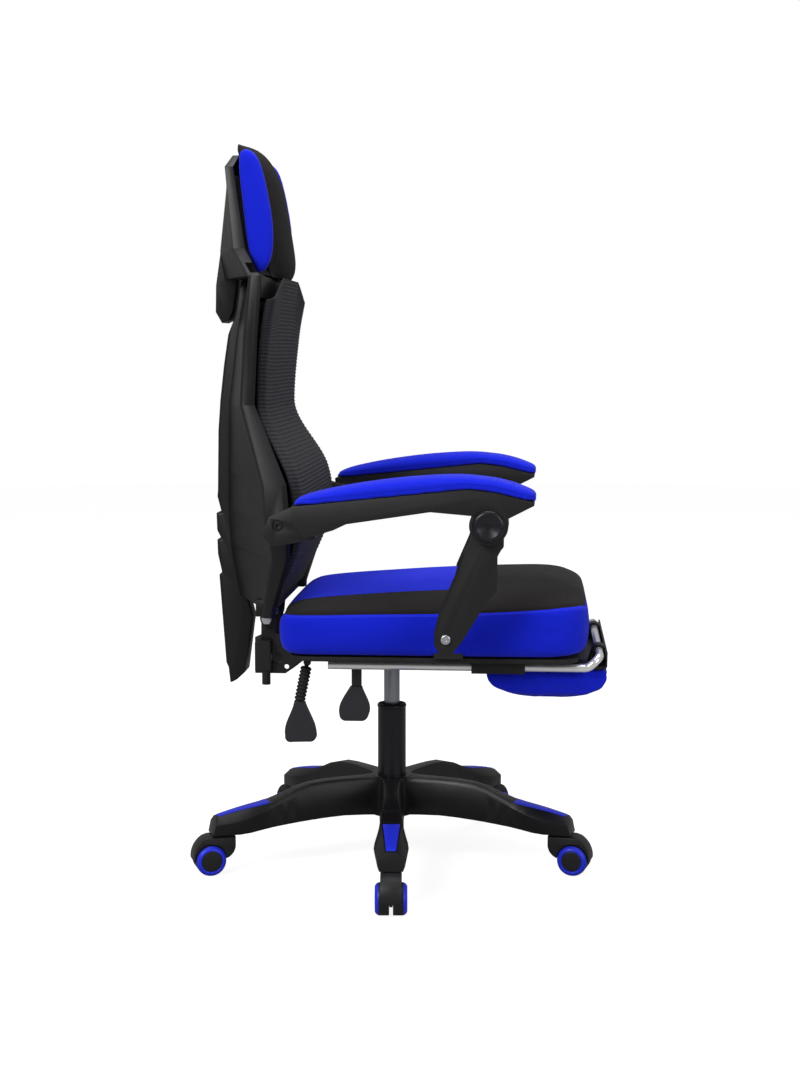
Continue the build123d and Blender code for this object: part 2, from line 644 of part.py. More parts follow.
export_step(seat_cushion.part, "parts/seat_cushion.step")

with BuildPart() as side_brackets:
    # Flange on the board, upright plate, and the spacer tube that reaches out to the strut.
    with BuildSketch(Plane.XY.offset(SEAT_BOTTOM)):
        with Locations((-(200 + LUG_OUTER) / 2, STRUT_FOOT[0])):
            Rectangle(LUG_OUTER - 200, 2 * BRACKET_HALF_WIDTH)
    extrude(amount=PLATE)
    with BuildSketch(side_plane(-LUG_OUTER)):
        with Locations((STRUT_FOOT[0], SEAT_BOTTOM)):
            Rectangle(2 * BRACKET_HALF_WIDTH, BRACKET_HEIGHT, align=(Align.CENTER, Align.MIN))
    extrude(amount=LUG_OUTER - LUG_INNER)
    with BuildSketch(side_plane(-SPACER_OUTER)):
        with Locations(STRUT_FOOT):
            Circle(SPACER_RADIUS)
    extrude(amount=SPACER_OUTER - LUG_OUTER)
    with BuildSketch(side_plane(-SPACER_OUTER)):
        with Locations(STRUT_FOOT):
            Circle(BOLT_RADIUS + RUNNING)
    extrude(amount=SPACER_OUTER - LUG_INNER, mode=Mode.SUBTRACT)
    mirror(about=Plane.YZ)
side_brackets.part.label = "side_brackets"
export_step(side_brackets.part, "parts/side_brackets.step")

HEAD_RADIUS = 8.0
HEAD_HEIGHT = 5.0
with BuildPart() as seat_bolts:
    # Mechanism and bracket bolts, heads below the plates.
    for bottom, height, radius in (
        (PLATE_TOP - PLATE - HEAD_HEIGHT, HEAD_HEIGHT, HEAD_RADIUS - 1),
        (PLATE_TOP - PLATE, PLATE, 4.0),
    ):
        with BuildSketch(Plane.XY.offset(bottom)):
            with GridLocations(2 * MECH_BOLTS[0], 2 * MECH_BOLTS[1], 2, 2):
                Circle(radius)
            with Locations((-BRACKET_BOLT_X, BRACKET_BOLT_Y), (BRACKET_BOLT_X, BRACKET_BOLT_Y)):
                Circle(radius)
        extrude(amount=height)
    # Strut bolts: button heads outside, shanks through the brackets.
    with BuildSketch(side_plane(-STRUT_OUTER - 0.3)):
        with Locations(STRUT_FOOT):
            Circle(BOLT_RADIUS)
    extrude(amount=STRUT_OUTER - LUG_INNER + 4)
    with BuildSketch(side_plane(-STRUT_OUTER - 0.3 - HEAD_HEIGHT)):
        with Locations(STRUT_FOOT):
            Circle(HEAD_RADIUS)
    extrude(amount=HEAD_HEIGHT)
    fillet(seat_bolts.faces().sort_by(Axis.X)[0].edges(), 2.4)
    with BuildSketch(side_plane(-STRUT_OUTER - 0.3 - HEAD_HEIGHT)):
        with Locations(STRUT_FOOT):
            RegularPolygon(3, 6)
    extrude(amount=2.6, mode=Mode.SUBTRACT)
    with BuildSketch(side_plane(STRUT_OUTER + 0.3)):
        with Locations(STRUT_FOOT):
            Circle(BOLT_RADIUS)
    extrude(amount=-(STRUT_OUTER - LUG_INNER + 4))
    with BuildSketch(side_plane(STRUT_OUTER + 0.3 + HEAD_HEIGHT)):
        with Locations(STRUT_FOOT):
            Circle(HEAD_RADIUS)
    extrude(amount=-HEAD_HEIGHT)
    fillet(seat_bolts.faces().sort_by(Axis.X)[-1].edges(), 2.4)
    with BuildSketch(side_plane(STRUT_OUTER + 0.3 + HEAD_HEIGHT)):
        with Locations(STRUT_FOOT):
            RegularPolygon(3, 6)
    extrude(amount=-2.6, mode=Mode.SUBTRACT)
seat_bolts.part.label = "seat_bolts"
export_step(seat_bolts.part, "parts/seat_bolts.step")

# ---------------------------------------------------------------- footrest
with BuildPart() as footrest_guides:
    for side in (-1, 1):
        with BuildSketch(Plane.XZ.offset(-GUIDE_REAR)):
            with Locations((side * RAIL_X, PLATE_TOP)):
                Rectangle(22, PLATE_TOP - 373.6, align=(Align.CENTER, Align.MAX))
            with Locations((side * RAIL_X, RAIL_Z)):
                Circle(RAIL_RADIUS + RUNNING, mode=Mode.SUBTRACT)
        extrude(amount=GUIDE_REAR - GUIDE_FRONT)
    fillet(footrest_guides.edges().filter_by(Axis.Y).group_by(Axis.Z)[0], 4)
footrest_guides.part.label = "footrest_guides"
export_step(footrest_guides.part, "parts/footrest_guides.step")

with BuildPart() as footrest_rail:
    with BuildLine() as rail_path:
        FilletPolyline(
            (-RAIL_X, RAIL_REAR, RAIL_Z), (-RAIL_X, RAIL_BEND, RAIL_Z), (-RAIL_X, CROSSBAR[0], CROSSBAR[1]),
            (RAIL_X, CROSSBAR[0], CROSSBAR[1]), (RAIL_X, RAIL_BEND, RAIL_Z), (RAIL_X, RAIL_REAR, RAIL_Z),
            radius=18,
        )
    with BuildSketch(Plane(origin=(-RAIL_X, RAIL_REAR, RAIL_Z), x_dir=(1, 0, 0), z_dir=(0, -1, 0))):
        Circle(RAIL_RADIUS)
    sweep(path=rail_path.wires()[0])
footrest_rail.part.label = "footrest_rail"
export_step(footrest_rail.part, "parts/footrest_rail.step")

CLIP_X = 120.0
CLIP_HALF_WIDTH = 14.0
BOARD_TOP = 384.0
BOARD_BOTTOM = 379.0
with BuildPart() as footrest_board:
    with BuildSketch(side_plane(-FOOT_HALF_WIDTH + 4)):
        # Flat board with a low lip up the front.
        Polygon(
            (-178, BOARD_TOP), (-178, BOARD_BOTTOM), (-371, BOARD_BOTTOM), (-374.5, 383), (-375, 408),
            (-372, 408), (-371.5, 386), (-369, BOARD_TOP), align=None,
        )
    extrude(amount=2 * FOOT_HALF_WIDTH - 8)
    for side in (-1, 1):
        with BuildSketch(side_plane(side * CLIP_X - CLIP_HALF_WIDTH)):
            Polygon((-372, 382), (-343, 382), (-350.5, 402), (-373.5, 402), align=None)
            with Locations(CROSSBAR):
                Circle(11.5)
                Circle(RAIL_RADIUS + RUNNING, mode=Mode.SUBTRACT)
        extrude(amount=2 * CLIP_HALF_WIDTH)
footrest_board.part.label = "footrest_board"
export_step(footrest_board.part, "parts/footrest_board.step")

with BuildPart() as footrest_pad:
    with BuildSketch(side_plane(-FOOT_HALF_WIDTH)):
        with BuildLine():
            Polyline((-373, BOARD_BOTTOM), (-170, BOARD_BOTTOM), (-174, 358))
            ThreePointArc((-174, 358), (-208, 338), (-263, 331))
            Line((-263, 331), (-336, 333))
            ThreePointArc((-336, 333), (-365, 346), (-373, BOARD_BOTTOM))
        make_face()
    extrude(amount=2 * FOOT_HALF_WIDTH)
    fillet(footrest_pad.faces().sort_by(Axis.X)[0].edges().group_by(Axis.Z)[0], 8)
    fillet(footrest_pad.faces().sort_by(Axis.X)[-1].edges().group_by(Axis.Z)[0], 8)
footrest_pad.part.label = "footrest_pad"
export_step(footrest_pad.part, "parts/footrest_pad.step")

# ---------------------------------------------------------------- back frame
# height, rail centre x, half width, front y, rear y
RAIL_STATIONS = (
    (463, 200, 10, 178.5, 203),
    (476, 201, 11, 177.5, 201),
    (564, 222, 13, 150, 184),
    (627, 246, 15, 147, 191),
    (690, 245, 14, 153, 195),
    (818, 202, 12, 211, 236),
    (930, 212, 11, 204, 228),
    (SHOULDER_Z - 0.2, 212, 10, 196, 218),
)
# height, y of the rear web where it meets the spine
WEB_STATIONS = (
    (476, 268),
    (564, 284),
    (627, 287),
    (690, 287),
    (818, 284),
    (930, 270),
    (975, 263),
    (SHOULDER_Z - 0.2, 250),
)
WEB_THICKNESS = 4.0
LUG_X = (55.0, 63.0)


def rail_outline(station, side):
    """Faceted section of a side rail; side is -1 for the sitter's right."""
    _, centre, half, front, rear = station
    corners = (
        (centre - half, front + 4), (centre + 0.3 * half, front), (centre + half, front + 7),
        (centre + half, rear - 6), (centre + 0.3 * half, rear), (centre - half, rear - 3),
    )
    return [(side * x, y) for x, y in corners]


def web_outline(height, spine_y, side):
    """Section of the plate that joins a rail to the spine."""
    _, centre, _, _, rear = between(RAIL_STATIONS, height)
    corners = (
        (centre - 3, rear - 3 - WEB_THICKNESS), (centre - 3, rear - 3),
        (SPINE_HALF_WIDTH + 0.1, spine_y), (SPINE_HALF_WIDTH + 0.1, spine_y - WEB_THICKNESS),
    )
    return [(side * x, y) for x, y in corners]


with BuildPart() as back_frame:
    for side in (-1, 1):
        for station in RAIL_STATIONS:
            with BuildSketch(Plane.XY.offset(station[0])):
                Polygon(*rail_outline(station, side), align=None)
        loft(ruled=True)
        for height, spine_y in WEB_STATIONS:
            with BuildSketch(Plane.XY.offset(height)):
                Polygon(*web_outline(height, spine_y, side), align=None)
        loft(ruled=True)
        # Boss that carries the arm's pivot bolt.
        with BuildSketch(side_plane(side * 250)):
            with Locations(ARM_PIVOT):
                Circle(16)
        extrude(amount=side * 19.5)
        with BuildSketch(side_plane(side * 236)):
            with Locations(ARM_PIVOT):
                Circle(BOLT_RADIUS)
        extrude(amount=side * 40, mode=Mode.SUBTRACT)
        # Hinge lug.
        with BuildSketch(side_plane(min(side * LUG_X[0], side * LUG_X[1]))):
            Polygon((201, HINGE[1]), (227, HINGE[1]), (222, 470), (198, 470), align=None)
            with Locations(HINGE):
                Circle(13)
                Circle(PIN_RADIUS + RUNNING, mode=Mode.SUBTRACT)
        extrude(amount=LUG_X[1] - LUG_X[0])
    # Lower bar and shoulder bar between the rails.
    with Locations((0, 203, 477)):
        Box(384, 22, 28)
    with Locations((0, 204, SHOULDER_Z - 18.2)):
        Box(412, 12, 36)
    with Locations((0, 227.5, 1000)):
        Box(2 * SPINE_HALF_WIDTH, 35, 12)
back_frame.part.label = "back_frame"
export_step(back_frame.part, "parts/back_frame.step")

with BuildPart() as back_spine:
    with BuildSketch(side_plane(-SPINE_HALF_WIDTH)):
        Polygon(
            (275, 324), (288, 317), (291, 345), (295, 354), (306, 512), (301, 516), (308, 548), (309, 575),
            (302, 577), (309, 591), (310, 622), (301, 624), (308, 651), (307, 661), (305, 768), (301, 821),
            (294, 882), (286, 935), (277, 956), (271, 978), (266, 1009), (261, 1029.5), (249, 1029.5),
            (257, 930), (272, 820), (276, 690), (274, 580), (258, 480), (247, 437), (260, 338), align=None,
        )
    extrude(amount=2 * SPINE_HALF_WIDTH)
    chamfer(back_spine.faces().sort_by(Axis.X)[0].edges().filter_by(lambda e: e.center().Y > 285), 4)
    chamfer(back_spine.faces().sort_by(Axis.X)[-1].edges().filter_by(lambda e: e.center().Y > 285), 4)
back_spine.part.label = "back_spine"
export_step(back_spine.part, "parts/back_spine.step")

# height, half width, front y, rear y
MESH_STATIONS = (
    (486, 186, 179, 185),
    (510, 196, 169, 174),
    (540, 204, 153, 159),
    (600, 222, 133, 145),
    (655, 236, 130, 145),
    (690, 234, 136, 150),
    (818, 196, 195, 207),
    (930, 204, 187, 201),
    (SHOULDER_Z - 6, 204, 176, 190),
)
MESH_ROLL = 18.0
with BuildPart() as back_mesh:
    for height, half, front, rear in MESH_STATIONS:
        with BuildSketch(Plane.XY.offset(height)):
            Polygon((-half, rear), (-half, rear - 2), (MESH_ROLL - half, front), (half - MESH_ROLL, front),
                    (half, rear - 2), (half, rear), align=None)
    loft(ruled=True)
    # The top edge slopes down towards the shoulders.
    for side in (-1, 1):
        with BuildSketch(Plane.XZ.offset(-230)):
            Polygon((side * 104, SHOULDER_Z), (side * 215, 996), (side * 215, SHOULDER_Z), align=None)
        extrude(amount=100, mode=Mode.SUBTRACT)
back_mesh.part.label = "back_mesh"
export_step(back_mesh.part, "parts/back_mesh.step")

# ---------------------------------------------------------------- head
# height, half width, front y, rim rear y, middle rear y
HEAD_STATIONS = (
    (SHOULDER_Z, 196, 203, 222, 288),
    (1078, 136, 236, 256, 296),
    (1214, 131, 256, 270, 281),
    (1236, 96, 250, 262, 268),
)
RIDGE_HALF = 34.0
HEAD_WALL = 4.5


def head_outline(station, inset):
    """Section of the head shell; an inset gives the hollow behind the pad."""
    _, half, front, rim, middle = station
    shift = 2.0 if inset else 0.0
    side = (
        (half - inset, front - shift), (half - inset, rim - inset), (RIDGE_HALF - inset, middle - inset),
    )
    return list(side) + [(-x, y) for x, y in reversed(side)]


with BuildPart() as head_shell:
    for station in HEAD_STATIONS:
        with BuildSketch(Plane.XY.offset(station[0])):
            Polygon(*head_outline(station, 0.0), align=None)
    loft(ruled=True)
    for station in HEAD_STATIONS[:3]:
        with BuildSketch(Plane.XY.offset(station[0] + (6 if station is HEAD_STATIONS[0] else 0))):
            Polygon(*head_outline(station, HEAD_WALL), align=None)
    loft(ruled=True, mode=Mode.SUBTRACT)
    # Tail that hangs below the shell over the spine.
    with BuildSketch(side_plane(-RIDGE_HALF)):
        Polygon((295, 1078), (304, 1020), (305, 974), (294, 955), (281, 961), (275, 976), (270, 1010),
                (264, 1050), align=None)
    extrude(amount=2 * RIDGE_HALF)
head_shell.part.label = "head_shell"
export_step(head_shell.part, "parts/head_shell.step")

HEAD_PAD_HALF = 132.0
with BuildPart() as head_pad:
    with BuildSketch(side_plane(-HEAD_PAD_HALF)):
        with BuildLine():
            Line((196, 1031.5), (178, 1033))
            ThreePointArc((178, 1033), (166, 1043), (164, 1060))
            Spline((164, 1060), (172, 1119), (195, 1203), (214, 1236))
            ThreePointArc((214, 1236), (232, 1254), (254, 1260))
            Polyline((254, 1260), (261, 1241), (247, 1238), (248, 1214), (229, 1078), (196, 1031.5))
        make_face()
    extrude(amount=2 * HEAD_PAD_HALF)
    with BuildSketch(Plane.XY.offset(980)):
        with BuildLine():
            Polyline(
                (-HEAD_PAD_HALF, 204), (-HEAD_PAD_HALF, 280), (HEAD_PAD_HALF, 280), (HEAD_PAD_HALF, 204),
            )
            ThreePointArc((HEAD_PAD_HALF, 204), (0, 160), (-HEAD_PAD_HALF, 204))
        make_face()
    extrude(amount=300, mode=Mode.INTERSECT)
head_pad.part.label = "head_pad"
export_step(head_pad.part, "parts/head_pad.step")

# ---------------------------------------------------------------- arms
WALL_INNER_FACE = 299.0            # arm walls on each side of the strut's head
WALL_OUTER_FACE = 331.0
LOBE_RADIUS = 31.0
SLOT_RADIUS = 33.0
PLATE_FACE = 270.0                 # inner face of the rear pivot plate
PLATE_OUTER = 300.0
BOLT_HEAD_RADIUS = 8.0
with BuildPart() as arm_shell_right:
    with BuildSketch(side_plane(-ARM_OUTER)):
        Polygon(
            (133, 662), (-48, 680.5), (-147, 691), (-190, 686), (-252, 671), (-251, 666), (-210, 645),
            (-152, 649.5), (-88, 655), (45, 635), (66, 625), (110, 612), (128, 630), align=None,
        )
        with Locations(KNOB):
            Circle(LOBE_RADIUS)
    extrude(amount=ARM_OUTER - ARM_INNER)
    # Hexagonal rear plate round the pivot bolt.
    with BuildSketch(side_plane(-PLATE_OUTER)):
        Polygon((186, 612), (175, 641), (141, 656), (110, 650), (100, 606), (125, 601), (170, 593),
                align=None)
    extrude(amount=PLATE_OUTER - PLATE_FACE)
    # Slot for the strut's head, open below.
    with BuildSketch(side_plane(-WALL_OUTER_FACE)):
        with Locations(KNOB):
            Circle(SLOT_RADIUS)
    extrude(amount=WALL_OUTER_FACE - WALL_INNER_FACE, mode=Mode.SUBTRACT)
    with BuildSketch(side_plane(-ARM_OUTER - 1)):
        with Locations(KNOB):
            Circle(BOLT_RADIUS + OPEN_PIVOT_PLAY)
    extrude(amount=ARM_OUTER - WALL_OUTER_FACE + 2, mode=Mode.SUBTRACT)
    with BuildSketch(side_plane(-PLATE_OUTER - 1)):
        with Locations(ARM_PIVOT):
            Circle(BOLT_RADIUS + RUNNING)
    extrude(amount=40, mode=Mode.SUBTRACT)
    with BuildSketch(side_plane(-PLATE_OUTER - 1)):
        with Locations(ARM_PIVOT):
            Circle(BOLT_HEAD_RADIUS + 0.6)
    extrude(amount=9, mode=Mode.SUBTRACT)
arm_shell_right.part.label = "arm_shell_right"
export_step(arm_shell_right.part, "parts/arm_shell_right.step")

PAD_OUTER = 350.0
PAD_INNER = 280.0
with BuildPart() as arm_pad_right:
    with BuildSketch(side_plane(-PAD_OUTER)):
        with BuildLine():
            Polyline((133, 662), (-48, 680.5), (-147, 691), (-190, 686), (-252, 671))
            ThreePointArc((-252, 671), (-258, 681), (-249, 693))
            Spline((-249, 693), (-190, 710.5), (-133, 715.5), (-20, 706), (122, 677))
            ThreePointArc((122, 677), (132, 671), (133, 662))
        make_face()
    extrude(amount=PAD_OUTER - PAD_INNER)
arm_pad_right.part.label = "arm_pad_right"
export_step(arm_pad_right.part, "parts/arm_pad_right.step")

with BuildPart() as arm_shell_left:
    mirror(arm_shell_right.part, about=Plane.YZ)
arm_shell_left.part.label = "arm_shell_left"
export_step(arm_shell_left.part, "parts/arm_shell_left.step")

with BuildPart() as arm_pad_left:
    mirror(arm_pad_right.part, about=Plane.YZ)
arm_pad_left.part.label = "arm_pad_left"
export_step(arm_pad_left.part, "parts/arm_pad_left.step")

with BuildPart() as arm_bolts:
    with BuildSketch(side_plane(-292.5)):
        with Locations(ARM_PIVOT):
            Circle(BOLT_HEAD_RADIUS)
    extrude(amount=-6)
    with BuildSketch(side_plane(-298.5)):
        with Locations(ARM_PIVOT):
            RegularPolygon(3.4, 6)
    extrude(amount=3, mode=Mode.SUBTRACT)
    with BuildSketch(side_plane(-292.5)):
        with Locations(ARM_PIVOT):
            Circle(BOLT_RADIUS)
    extrude(amount=54)
    mirror(about=Plane.YZ)
arm_bolts.part.label = "arm_bolts"
export_step(arm_bolts.part, "parts/arm_bolts.step")

with BuildPart() as strut_right:
    with BuildSketch(side_plane(-STRUT_OUTER)):
        Polygon(
            (-203, 615), (-200, 595), (-193.5, 583), (-193, 529), (-169, 497), (-139, 448), (-119, 422),
            (-105, 422), (-93, 440), (-93, 460), (-102, 496), (-126, 552), (-133, 578), (-149, 604),
            (-152, 617), align=None,
        )
        with Locations(KNOB):
            Circle(29.5)
        with Locations(KNOB, STRUT_FOOT):
            Circle(BOLT_RADIUS + RUNNING, mode=Mode.SUBTRACT)
    extrude(amount=STRUT_OUTER - STRUT_INNER)
    with BuildSketch(side_plane(-STRUT_INNER)):
        with Locations(STRUT_FOOT):
            Circle(15)
            Circle(BOLT_RADIUS + RUNNING, mode=Mode.SUBTRACT)
    extrude(amount=STRUT_INNER - SPACER_OUTER - 0.5)
    # Long rear bevel on the outer face.
    rear_edges = strut_right.faces().sort_by(Axis.X)[0].edges().filter_by(
        lambda e: e.geom_type == GeomType.LINE and e.center().Y > -140 and e.center().Z > 445)
    chamfer(rear_edges, 6)
strut_right.part.label = "strut_right"
export_step(strut_right.part, "parts/strut_right.step")

with BuildPart() as strut_left:
    mirror(strut_right.part, about=Plane.YZ)
strut_left.part.label = "strut_left"
export_step(strut_left.part, "parts/strut_left.step")

KNOB_FACE = ARM_OUTER + 0.5
with BuildPart() as strut_knob_right:
    # Dished cap on a bolt that ends in the strut.
    with BuildSketch(Plane(origin=(-KNOB_FACE, KNOB[0], KNOB[1]), x_dir=(-1, 0, 0), z_dir=(0, 1, 0))):
        with BuildLine():
            Polyline((0, 0), (0, 24), (1.5, 25.5), (5, 25.5))
            ThreePointArc((5, 25.5), (10.2, 23.5), (12, 19))
            ThreePointArc((12, 19), (9.5, 12), (7.5, 5))
            Polyline((7.5, 5), (7.5, 0), (0, 0))
        make_face()
    revolve(axis=Axis((0, KNOB[0], KNOB[1]), (1, 0, 0)))
    with BuildSketch(side_plane(-KNOB_FACE - 1)):
        with Locations(KNOB):
            Circle(BOLT_RADIUS)
    extrude(amount=KNOB_FACE + 1 - STRUT_INNER - 1)
strut_knob_right.part.label = "strut_knob_right"
export_step(strut_knob_right.part, "parts/strut_knob_right.step")

with BuildPart() as strut_knob_left:
    mirror(strut_knob_right.part, about=Plane.YZ)
strut_knob_left.part.label = "strut_knob_left"
export_step(strut_knob_left.part, "parts/strut_knob_left.step")
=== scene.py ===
"""Looks of the reclining mesh-back gaming chair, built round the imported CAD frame.

Metres, +Z up, floor at z = 0, the chair faces -Y and the sitter's right is -X.
"""

import json
import math

import bpy
import numpy as np
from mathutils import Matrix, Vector
from mathutils.bvhtree import BVHTree


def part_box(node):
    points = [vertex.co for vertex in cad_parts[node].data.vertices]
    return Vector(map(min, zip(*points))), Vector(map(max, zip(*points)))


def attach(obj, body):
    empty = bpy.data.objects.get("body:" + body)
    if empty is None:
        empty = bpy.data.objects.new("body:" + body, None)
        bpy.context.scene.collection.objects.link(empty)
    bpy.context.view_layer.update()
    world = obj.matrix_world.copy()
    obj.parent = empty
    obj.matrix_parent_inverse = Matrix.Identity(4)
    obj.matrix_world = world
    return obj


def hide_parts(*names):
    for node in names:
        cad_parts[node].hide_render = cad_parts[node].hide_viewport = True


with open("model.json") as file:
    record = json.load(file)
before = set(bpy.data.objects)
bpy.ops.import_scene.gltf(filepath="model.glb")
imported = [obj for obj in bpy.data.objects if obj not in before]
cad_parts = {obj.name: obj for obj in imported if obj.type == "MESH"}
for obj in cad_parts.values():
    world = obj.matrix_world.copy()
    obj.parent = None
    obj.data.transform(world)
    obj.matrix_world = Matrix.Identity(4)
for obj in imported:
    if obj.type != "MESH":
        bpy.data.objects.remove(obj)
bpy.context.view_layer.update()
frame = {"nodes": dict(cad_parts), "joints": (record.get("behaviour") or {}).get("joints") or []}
NODES = frame["nodes"]
SCENE = bpy.context.scene

# ---------------------------------------------------------------- driving sizes
SEAT_LOW, SEAT_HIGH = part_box("seat_cushion")
FOOT_LOW, FOOT_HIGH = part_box("footrest_pad")
MESH_LOW, MESH_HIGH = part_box("back_mesh")
FABRIC_VOXEL = 0.005
WEAVE_PITCH = 0.0011


# ---------------------------------------------------------------- mesh helpers
def link_mesh(name, points, faces, material):
    """A smooth-shaded mesh object from points and faces."""
    mesh = bpy.data.meshes.new(name)
    mesh.from_pydata([tuple(p) for p in points], [], faces)
    mesh.update()
    mesh.shade_smooth()
    piece = bpy.data.objects.new(name, mesh)
    SCENE.collection.objects.link(piece)
    piece.data.materials.append(material)
    return piece


def get_points(mesh):
    flat = np.zeros(len(mesh.vertices) * 3)
    mesh.vertices.foreach_get("co", flat)
    return flat.reshape(-1, 3)


def set_points(mesh, points):
    mesh.vertices.foreach_set("co", points.reshape(-1))
    mesh.update()


def get_normals(mesh):
    flat = np.zeros(len(mesh.vertices) * 3)
    mesh.vertices.foreach_get("normal", flat)
    return flat.reshape(-1, 3)


def apply_modifiers(piece):
    """Replaces the piece's mesh by its evaluated one and drops the modifiers."""
    bpy.context.view_layer.update()
    evaluated = piece.evaluated_get(bpy.context.evaluated_depsgraph_get())
    mesh = bpy.data.meshes.new_from_object(evaluated)
    old = piece.data
    materials = list(old.materials)
    piece.modifiers.clear()
    piece.data = mesh
    mesh.materials.clear()
    for material in materials:
        mesh.materials.append(material)
    mesh.shade_smooth()
    bpy.data.meshes.remove(old)


def remesh(piece, voxel, smooth_steps=6):
    modifier = piece.modifiers.new("remesh", "REMESH")
    modifier.mode = "VOXEL"
    modifier.voxel_size = voxel
    if smooth_steps:
        relax = piece.modifiers.new("relax", "SMOOTH")
        relax.factor = 0.5
        relax.iterations = smooth_steps
    apply_modifiers(piece)


def subdivide(piece, levels=1):
    modifier = piece.modifiers.new("subdivide", "SUBSURF")
    modifier.levels = levels
    modifier.render_levels = levels
    apply_modifiers(piece)


def inflate(piece, pressure, cap, held=None):
    """Blows a padded piece up by cloth simulation. No point moves further than cap."""
    rest = get_points(piece.data)
    if held is not None and len(held):
        group = piece.vertex_groups.new(name="held")
        group.add([int(i) for i in held], 1.0, "REPLACE")
    cloth = piece.modifiers.new("inflate", "CLOTH")
    settings = cloth.settings
    settings.quality = 4
    settings.mass = 0.25
    settings.tension_stiffness = 12
    settings.compression_stiffness = 12
    settings.shear_stiffness = 6
    settings.bending_stiffness = 0.4
    settings.use_pressure = True
    settings.uniform_pressure_force = pressure
    settings.effector_weights.gravity = 0
    if held is not None and len(held):
        settings.vertex_group_mass = "held"
    for step in range(1, 21):
        SCENE.frame_set(step)
    evaluated = piece.evaluated_get(bpy.context.evaluated_depsgraph_get())
    moved = get_points(evaluated.data) - rest
    length = np.maximum(np.linalg.norm(moved, axis=1), 1e-9)
    share = cap * np.tanh(length / cap) / length
    piece.modifiers.remove(cloth)
    SCENE.frame_set(1)
    set_points(piece.data, rest + moved * share[:, None])
    piece.vertex_groups.clear()


def press_groove(piece, distance, depth, width):
    """Sinks the surface along a seam; distance is each point's distance from the seam."""
    points = get_points(piece.data)
    normals = get_normals(piece.data)
    sink = depth * np.exp(-((distance / width) ** 2))
    set_points(piece.data, points - normals * sink[:, None])


def paint(piece, name, values):
    """Stores one number per point for the piece's material."""
    attribute = piece.data.attributes.new(name, "FLOAT", "POINT")
    attribute.data.foreach_set("value", np.asarray(values, np.float32))


def surface_tree(piece):
    mesh = piece.data
    return BVHTree.FromPolygons([v.co for v in mesh.vertices], [p.vertices for p in mesh.polygons])


STITCH_LENGTH = 0.0034
STITCH_GAP = 0.0018
STITCH_WIDTH = 0.0008
# share of the stitch's length, share of its width, height over the fabric
STITCH_RINGS = ((-0.5, 0.3, -0.0003), (-0.28, 1, 0.0003), (0.28, 1, 0.0003), (0.5, 0.3, -0.0003))


def stitches(name, runs, material):
    """Rows of sewn thread. Each run is a list of (point on the fabric, outward normal)."""
    points, faces = [], []
    for run in runs:
        travelled, start = 0.0, 0.0
        for (a, normal), (b, _) in zip(run, run[1:]):
            step = (b - a).length
            if step < 1e-6:
                continue
            along = (b - a) / step
            side = along.cross(normal).normalized()
            up = side.cross(along).normalized()
            while start < travelled + step:
                centre = a + along * (start - travelled)
                base = len(points)
                for reach, half, lift in STITCH_RINGS:
                    spot = centre + along * (reach * STITCH_LENGTH)
                    for turn in range(6):
                        angle = math.pi * turn / 3
                        offset = side * math.cos(angle) + up * (0.6 * math.sin(angle))
                        points.append(spot + up * lift + offset * (half * STITCH_WIDTH / 2))
                for ring in range(3):
                    for k in range(6):
                        m = (k + 1) % 6
                        p, q = base + ring * 6, base + ring * 6 + 6
                        faces.append((p + k, p + m, q + m, q + k))
                faces.append(tuple(base + k for k in range(5, -1, -1)))
                faces.append(tuple(base + 18 + k for k in range(6)))
                start += STITCH_LENGTH + STITCH_GAP
            travelled += step
    return link_mesh(name, points, faces, material)


def interp(value, table):
    """Piecewise-linear lookup in rows of (input, output), inputs rising."""
    rows = np.array(table, float)
    return np.interp(value, rows[:, 0], rows[:, 1])


def smooth_interp(value, table):
    """Monotone cubic lookup in rows of (input, output), inputs rising."""
    rows = np.array(table, float)
    x, y = rows[:, 0], rows[:, 1]
    steps = np.diff(x)
    slopes = np.diff(y) / steps
    tangents = np.zeros(len(x))
    tangents[0], tangents[-1] = slopes[0], slopes[-1]
    for i in range(1, len(x) - 1):
        if slopes[i - 1] * slopes[i] > 0:
            tangents[i] = 2 * slopes[i - 1] * slopes[i] / (slopes[i - 1] + slopes[i])
    v = np.clip(np.asarray(value, float), x[0], x[-1])
    i = np.clip(np.searchsorted(x, v) - 1, 0, len(x) - 2)
    t = (v - x[i]) / steps[i]
    return (
        y[i] * (2 * t**3 - 3 * t**2 + 1)
        + steps[i] * tangents[i] * (t**3 - 2 * t**2 + t)
        + y[i + 1] * (3 * t**2 - 2 * t**3)
        + steps[i] * tangents[i + 1] * (t**3 - t**2)
    )


